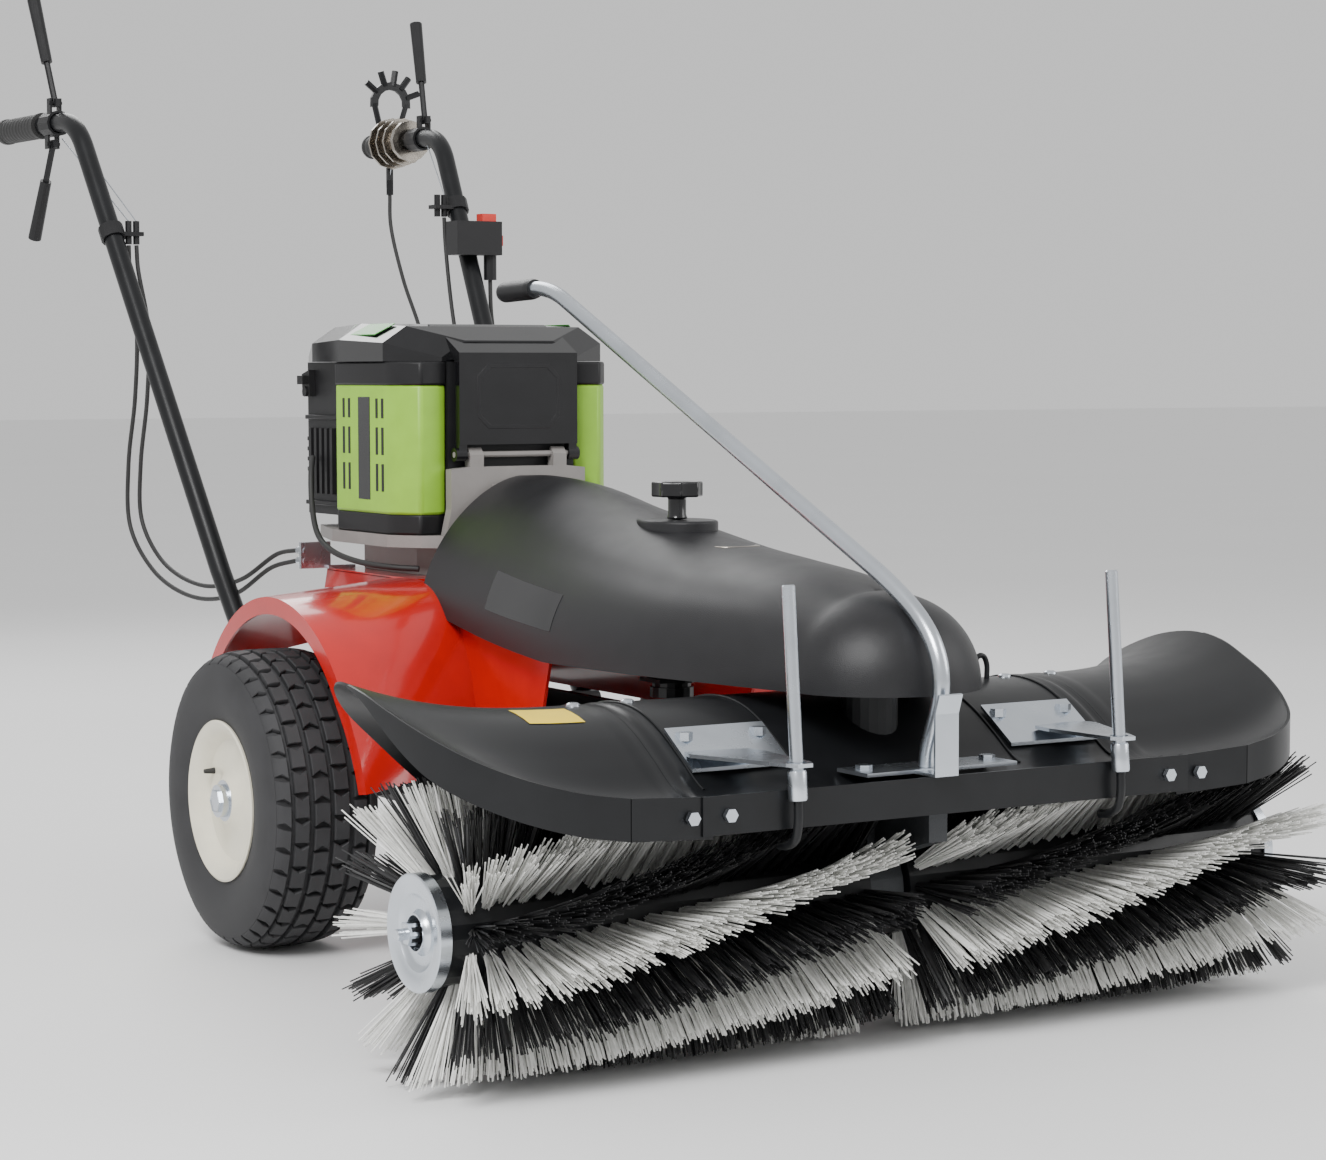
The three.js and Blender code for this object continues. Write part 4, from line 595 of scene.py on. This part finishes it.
# ---- red body -----------------------------------------------------------------------------------
def fender_surface(u, v):
    """u runs from the rolled lip over the edge and in to the deck, v from the rear to the front."""
    lip = 1 - u / 0.15 if u < 0.15 else 0.0
    inward = 0.0 if u < 0.15 else (u - 0.15) / 0.85
    turn = math.radians(mix(36, 172, v))
    power = 2 / mix(2, 2.5, inward)
    rise = mix(254, 270, inward)
    back = mix(254, 304, inward) if math.cos(turn) > 0 else mix(254, 184, inward**1.5)
    shrink = 1 - lip * 22 / 254
    sweep = (v - 0.8) / 0.2 * 22 * (1 - inward) if v > 0.8 else 0.0
    c, s = math.cos(turn), math.sin(turn)
    y = 845 + back * math.copysign(abs(c) ** power, c) * shrink - sweep
    return (mix(350, 150, inward), y, 189 + rise * s**power * shrink)


body = Shape()
sheet(body, fender_surface, 60, 72, -3)
sheet(body, lambda u, v: (-fender_surface(u, v)[0], *fender_surface(u, v)[1:]), 60, 72, 3)
SIDE_WALL = [(478, 386), (506, 293), (1115, 293), (1135, 380), (1107, 457), (833, 457)]
for low, high in ((147, 151), (-151, -147)):
    plate(body, SIDE_WALL, "X", low, high)
block(body, -151, 151, 836, 1107, 456, 459)
block(body, -149, 149, 486, 720, 384, 387.7)
block(body, -149, 149, 1100, 1103, 300, 458)
body.finish("body_sheet", "root", LOOKS["red_paint"], "red_paint", 38, stands_for=["body_shell"])

# ---- guard and its wings ------------------------------------------------------------------------
GUARD_LINE = [(262, 235), (250, 292), (218, 338), (172, 364), (120, 372), (72, 367), (30, 351), (-10, 327),
              (-48, 302), (-80, 293), (-112, 292), (-124.5, 303)]


def guard_line(v):
    """A point of the guard's outline: a uniform Catmull-Rom curve through GUARD_LINE."""
    place = v * (len(GUARD_LINE) - 1)
    i = min(int(place), len(GUARD_LINE) - 2)
    t = place - i
    a, b, c, d = (Vector(GUARD_LINE[int(clamp(k, 0, len(GUARD_LINE) - 1))]) for k in range(i - 1, i + 3))
    m0, m1 = (c - a) * 0.5, (d - b) * 0.5
    return ((2 * b - 2 * c + m0 + m1) * t**3 + (-3 * b + 3 * c - 2 * m0 - m1) * t**2 + m0 * t + b)


def guard_surface(u, v):
    x = mix(-300, 300, u)
    y, z = guard_line(v)
    bead = 1.3 * (math.exp(-(((abs(x) - 283) / 4) ** 2)) - math.exp(-(((abs(x) - 292) / 3) ** 2)))
    return (x, y, z + bead)


guard = sheet(Shape(), guard_surface, 150, 60, 3)
guard.finish("guard_sheet", "brush_head", LOOKS["black_paint"], "black_paint", 60,
             stands_for=["guard_centre"])
RIM = centripetal([(400, 262, 250), (470, 268, 318), (520, 262, 366), (556, 215, 398), (572, 160, 408),
                   (573, 110, 402), (566, 60, 386), (552, 2, 366), (528, -52, 346), (495, -96, 330),
                   (450, -122, 317), (400, -131, 309)], 240)


def rim_at(v):
    place = clamp(v) * 240
    i = min(int(place), 239)
    return RIM[i].lerp(RIM[i + 1], place - i)


def wing_surface(u, v):
    (sy, sz), end = guard_line(v), rim_at(v)
    x = mix(300.4, end.x, u)
    bead = 1.3 * math.exp(-(((x - 312) / 4) ** 2))
    return (x, mix(sy, end.y, u**3), mix(sz, end.z, u**3) + bead)


def wing_edge(u, v):
    top = rim_at(mix(0.4, 1, v))
    ease = clamp(v / 0.45)
    depth = 39 * ease * ease * (3 - 2 * ease)
    return (top.x + 0.4, top.y, top.z - (4 + depth) * (1 - u))


def wing_front(u, v):
    return (mix(400, 302, v), mix(-131, -126, v), mix(309, 303, v) - 43 * (1 - u))


for side, word in ((-1, "left"), (1, "right")):
    wing = Shape()
    for surface, across, along in ((wing_surface, 40, 60), (wing_edge, 8, 60), (wing_front, 6, 12)):
        if side > 0:
            sheet(wing, surface, across, along, 3)
        else:
            sheet(wing, lambda u, v, s=surface: (-s(u, v)[0], s(u, v)[1], s(u, v)[2]), across, along, -3)
    wing.finish("wing_sheet_" + word, "brush_head", LOOKS["black_paint"], "black_paint", 60,
                stands_for=["guard_wing_" + word])
    for k, x in enumerate((286, 330)):
        bolt = hexagon(Shape(), (side * x, -132, 284), "Y", 7.5, -7, 0)
        bolt.finish(f"lip_bolt_{word}_{k}", "brush_head", LOOKS["zinc"], "zinc", 30)
    top_y, top_z = 120, 372
    for k, x in enumerate((255, 322)):
        stud = revolve(Shape(), [(0, 8), (2.5, 7.5), (4, 5)], (side * x, top_y, top_z - 0.4), "Z", 24)
        stud.finish(f"guard_bolt_{word}_{k}", "brush_head", LOOKS["zinc"], "zinc", 30)
label = Shape()
cells = [(u, v) for u in (0.16, 0.24, 0.32, 0.40) for v in (0.40, 0.43, 0.46, 0.49)]
points = [Vector((-wing_surface(u, v)[0], *wing_surface(u, v)[1:])) + Vector((0, 0, 0.7)) for u, v in cells]
label.take([at(*p) for p in points], grid_faces(4, 4)).finish("label_blank", "brush_head", YELLOW,
                                                              "black_paint")
for side, word in ((-1, "left"), (1, "right")):
    seams = Shape()
    for x in (140, 268):
        rib = [(side * x, y, guard_z + 0.6) for y, guard_z in (guard_line(k / 60) for k in range(14, 46))]
        tube(seams, rib, 1.6, 10)
    seams.finish("guard_ribs_" + word, "brush_head", LOOKS["black_paint"], "black_paint", 60)
eye = tube(Shape(), centripetal([(208, 116, 371), (208, 116, 388), (212, 116, 397), (217, 116, 399),
                                 (222, 116, 397), (226, 116, 388), (226, 116, 371)], 40), 3.2, 14)
eye.finish("lifting_eye", "brush_head", LOOKS["black_paint"], "black_paint", 50)

# ---- steering rod and pins ----------------------------------------------------------------------
ROD_X, FOOT_Z = -12, 309.3


def cubic(a, b, c, d, count):
    return [tuple((1 - t) ** 3 * p + 3 * (1 - t) ** 2 * t * q + 3 * (1 - t) * t * t * r + t**3 * s
                  for p, q, r, s in zip(a, b, c, d)) for t in (k / count for k in range(count + 1))]


rod = [(-94, FOOT_Z), (-94, FOOT_Z + 4)]
rod += cubic((-94, FOOT_Z + 8), (-95, 340), (-112, 360), (-117, 388), 14)
rod += cubic((-117, 388), (-123, 440), (-84, 472), (-2, 511), 22)[1:]
rod += [(mix(-2, 682, k / 8), mix(511, 816, k / 8)) for k in range(1, 9)]
rod += [tuple((1 - t) ** 2 * p + 2 * t * (1 - t) * q + t * t * r for p, q,
              r in zip((682, 816), (716, 832), (756, 834)))
        for t in (k / 14 for k in range(1, 15))]
rod += [(842, 831)]
tube(Shape(), [(ROD_X, y, z) for y, z in rod], 9.5, 24).finish(
    "steering_rod", "brush_head", LOOKS["zinc"], "zinc", 50, stands_for=["lever_rod"])
tube(Shape(), [(ROD_X, mix(764, 852, k / 20), mix(833.6, 830.8, k / 20)) for k in range(21)],
     lambda t: 13.6 - 3.5 * max(0.0, t - 0.93) / 0.07 - 1.2 * max(0.0, 0.1 - t) / 0.1, 28).finish(
    "rod_sleeve", "brush_head", LOOKS["black_plastic"], "black_plastic", 45, stands_for=["lever_grip"])
for side, word in ((-1, "left"), (1, "right")):
    low = Vector((side * 210, -144, 294))
    high = Vector((side * 210, -125, 512))
    up = (high - low).normalized()
    shank = tube(Shape(), [low + up * s for s in (2, 20, 100, 190, 214, 217, 218.6)],
                 lambda t: 7 if t < 0.9 else 5.6, 24)
    tube(shank, [low + up * s for s in (0, 2, 29, 31)], lambda t: 10 if 0.1 < t < 0.9 else 9, 28)
    tube(shank, [high - up * 12 + Vector((dx, 0, 0)) for dx in (-7.2, 7.2)], 1.6, 12)
    shank.finish("pin_shank_" + word, "brush_head", LOOKS["zinc"], "zinc", 40, stands_for=["pin_" + word])
    leg = centripetal([(low.x, low.y, low.z + 2), (low.x, low.y, low.z - 24), (low.x, low.y + 5, low.z - 40),
                       (low.x, low.y + 20, low.z - 48), (low.x, low.y + 34, low.z - 50)], 30)
    tube(Shape(), leg, 4.9, 16).finish("pin_leg_" + word, "brush_head", LOOKS["black_paint"],
                                       "black_paint", 50)

# ---- motor --------------------------------------------------------------------------------------
INNER = 94.3
LOW, HIGH = 514.3, 740.3
CASE = [(INNER, 856), (108, 850), (134.3, 850), (151, 868), (162.3, 895), (162.3, 1053), (150.3, 1065),
        (INNER, 1065)]


def shrunk(outline, amount):
    middle = Vector((128, 957))
    return [tuple(middle + (Vector(p) - middle) * (1 - amount / (Vector(p) - middle).length))
            for p in outline]


for side, word in ((-1, "left"), (1, "right")):
    def sided(points):
        return [(side * x, y) for x, y in points]

    case = plate(Shape(), sided(shrunk(CASE, 1.5)), "Z", LOW + 26, HIGH - 30)
    case.finish("battery_case_" + word, "root", LOOKS["green_plastic"], "green_plastic", bevel=0.004,
                stands_for=["battery_" + word])
    caps = plate(Shape(), sided(CASE), "Z", HIGH - 31, HIGH)
    plate(caps, sided(shrunk(CASE, 3)), "Z", LOW, LOW + 27)
    block(caps, *sorted((side * 150, side * 161.6)), 944, 984, LOW + 60, HIGH - 60)
    caps.finish("battery_caps_" + word, "root", LOOKS["black_plastic"], "black_plastic", bevel=0.003)
    for k, y in enumerate((905, 922, 1006, 1023)):
        slots = Shape()
        for low, high in ((LOW + 56, LOW + 92), (LOW + 104, LOW + 140), (LOW + 152, LOW + 178)):
            block(slots, *sorted((side * 156, side * 162.1)), y, y + 7, low, high)
        slots.finish(f"battery_slots_{word}_{k}", "root", LOOKS["black_plastic"], "black_plastic",
                     bevel=0.0004)
    strip = block(Shape(), *sorted((side * 160, side * 162.28)), 946, 982, LOW + 44, HIGH - 46)
    strip.finish("battery_plate_" + word, "root", LOOKS["gloss_black"], "gloss_black", bevel=0.0008)

lid_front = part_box("lid")[0][1] / MM - SHIFT / MM
panel = [(-62, 668), (-46, 652), (46, 652), (62, 668), (62, 722), (46, 738), (-46, 738), (-62, 722)]
ring = Shape()
inner_panel = [(x * 0.9, mix(695, z, 0.86)) for x, z in panel]
count = len(panel)
loops = [(panel, lid_front - 0.2), (panel, lid_front + 3), (inner_panel, lid_front + 3),
         (inner_panel, lid_front - 0.2)]
ring.take([at(x, y, z) for loop, y in loops for x, z in loop],
          [[a * count + k, a * count + (k + 1) % count, ((a + 1) % 4) * count + (k + 1) % count,
            ((a + 1) % 4) * count + k] for a in range(4) for k in range(count)])
ring.finish("lid_panel", "lid", LOOKS["black_plastic"], "gloss_black", bevel=0.001)
ribs = Shape()
for x in (-42, -14, 14, 42):
    block(ribs, x - 4, x + 4, lid_front + 0.1, lid_front + 6, 634, 648)
ribs.finish("lid_ribs", "lid", LOOKS["gloss_black"], "gloss_black", bevel=0.0012)
for side, word in ((-1, "left"), (1, "right")):
    slope = [(side * 131, 930, 791.4), (side * 131, 1050, 791.4), (side * 155, 1036, 776.6),
             (side * 155, 944, 776.6)]
    window = Shape().take([at(*p) for p in slope] + [at(x, y, z - 1.5) for x, y, z in slope],
                          [[0, 1, 2, 3], [4, 5, 6, 7]] + [[k, (k + 1) % 4, 4 + (k + 1) % 4, 4 + k]
                                                          for k in range(4)])
    window.finish("lid_window_" + word, "lid", WINDOW, "green_plastic", bevel=0.0006)
for side, word in ((-1, "left"), (1, "right")):
    seam = block(Shape(), *sorted((side * 144, side * 149)), 1078, 1180, 662, 668)
    block(seam, *sorted((side * 144, side * 149)), 1078, 1180, 544, 550)
    for z in (590, 604, 618, 632):
        block(seam, *sorted((side * 144, side * 147)), 1168, 1178, z, z + 6)
    seam.finish("louvre_frame_" + word, "root", LOOKS["black_plastic"], "black_plastic", bevel=0.001)
    catch = block(Shape(), *sorted((side * 160, side * 162)), 940, 988, 716, 734)
    catch.finish("battery_catch_" + word, "root", LOOKS["red_plastic"], "red_plastic", bevel=0.0008)
rear_grille = Shape()
for z in range(570, 700, 16):
    block(rear_grille, -92, 92, 1213, 1214.8, z, z + 7)
rear_grille.finish("rear_grille", "root", LOOKS["gloss_black"], "black_plastic", bevel=0.0006)
name_plate = block(Shape(), -40, 40, 830.6, 832.4, 556, 580)
name_plate.finish("cradle_plate", "root", LOOKS["grey_plastic"], "grey_plastic", bevel=0.0006)
shiny = revolve(Shape(), [(459.5, 62), (459.5, 70), (464, 70), (466, 66), (466, 62), (459.5, 62)],
                (0, 985, 0), "Z", 64)
shiny.finish("cradle_ring", "root", LOOKS["pulley_steel"], "pulley_steel")


# ---- floor and the CAD nodes that stay ----------------------------------------------------------
floor_mesh = bpy.data.meshes.new("floor")
floor_mesh.from_pydata([(-40, -40, 0), (40, -40, 0), (40, 40, 0), (-40, 40, 0)], [], [[0, 1, 2, 3]])
floor = bpy.data.objects.new("floor", floor_mesh)
bpy.context.scene.collection.objects.link(floor)
floor_mesh.materials.append(material("floor", (0.86, 0.86, 0.86), 0.6, shade=0.01, spots=1, grain=40,
                                     bump=0.0))

SLOT_OF = {part["node"]: part["material_slot"] for part in frame["record"]["subparts"]}
BEVELS = {"body_shell": 0.0012, "lid": 0.004, "motor_base": 0.003, "motor_housing": 0.004,
          "switch_box": 0.004}
for name, node in NODES.items():
    node.data.shade_smooth()
    node.data.set_sharp_from_angle(angle=math.radians(32))
    if node.material_slots:
        for place in node.material_slots:
            place.material = LOOKS[SLOT_OF[name]]
    else:
        node.data.materials.append(LOOKS[SLOT_OF[name]])
    soften(node, BEVELS.get(name, 0.0008))
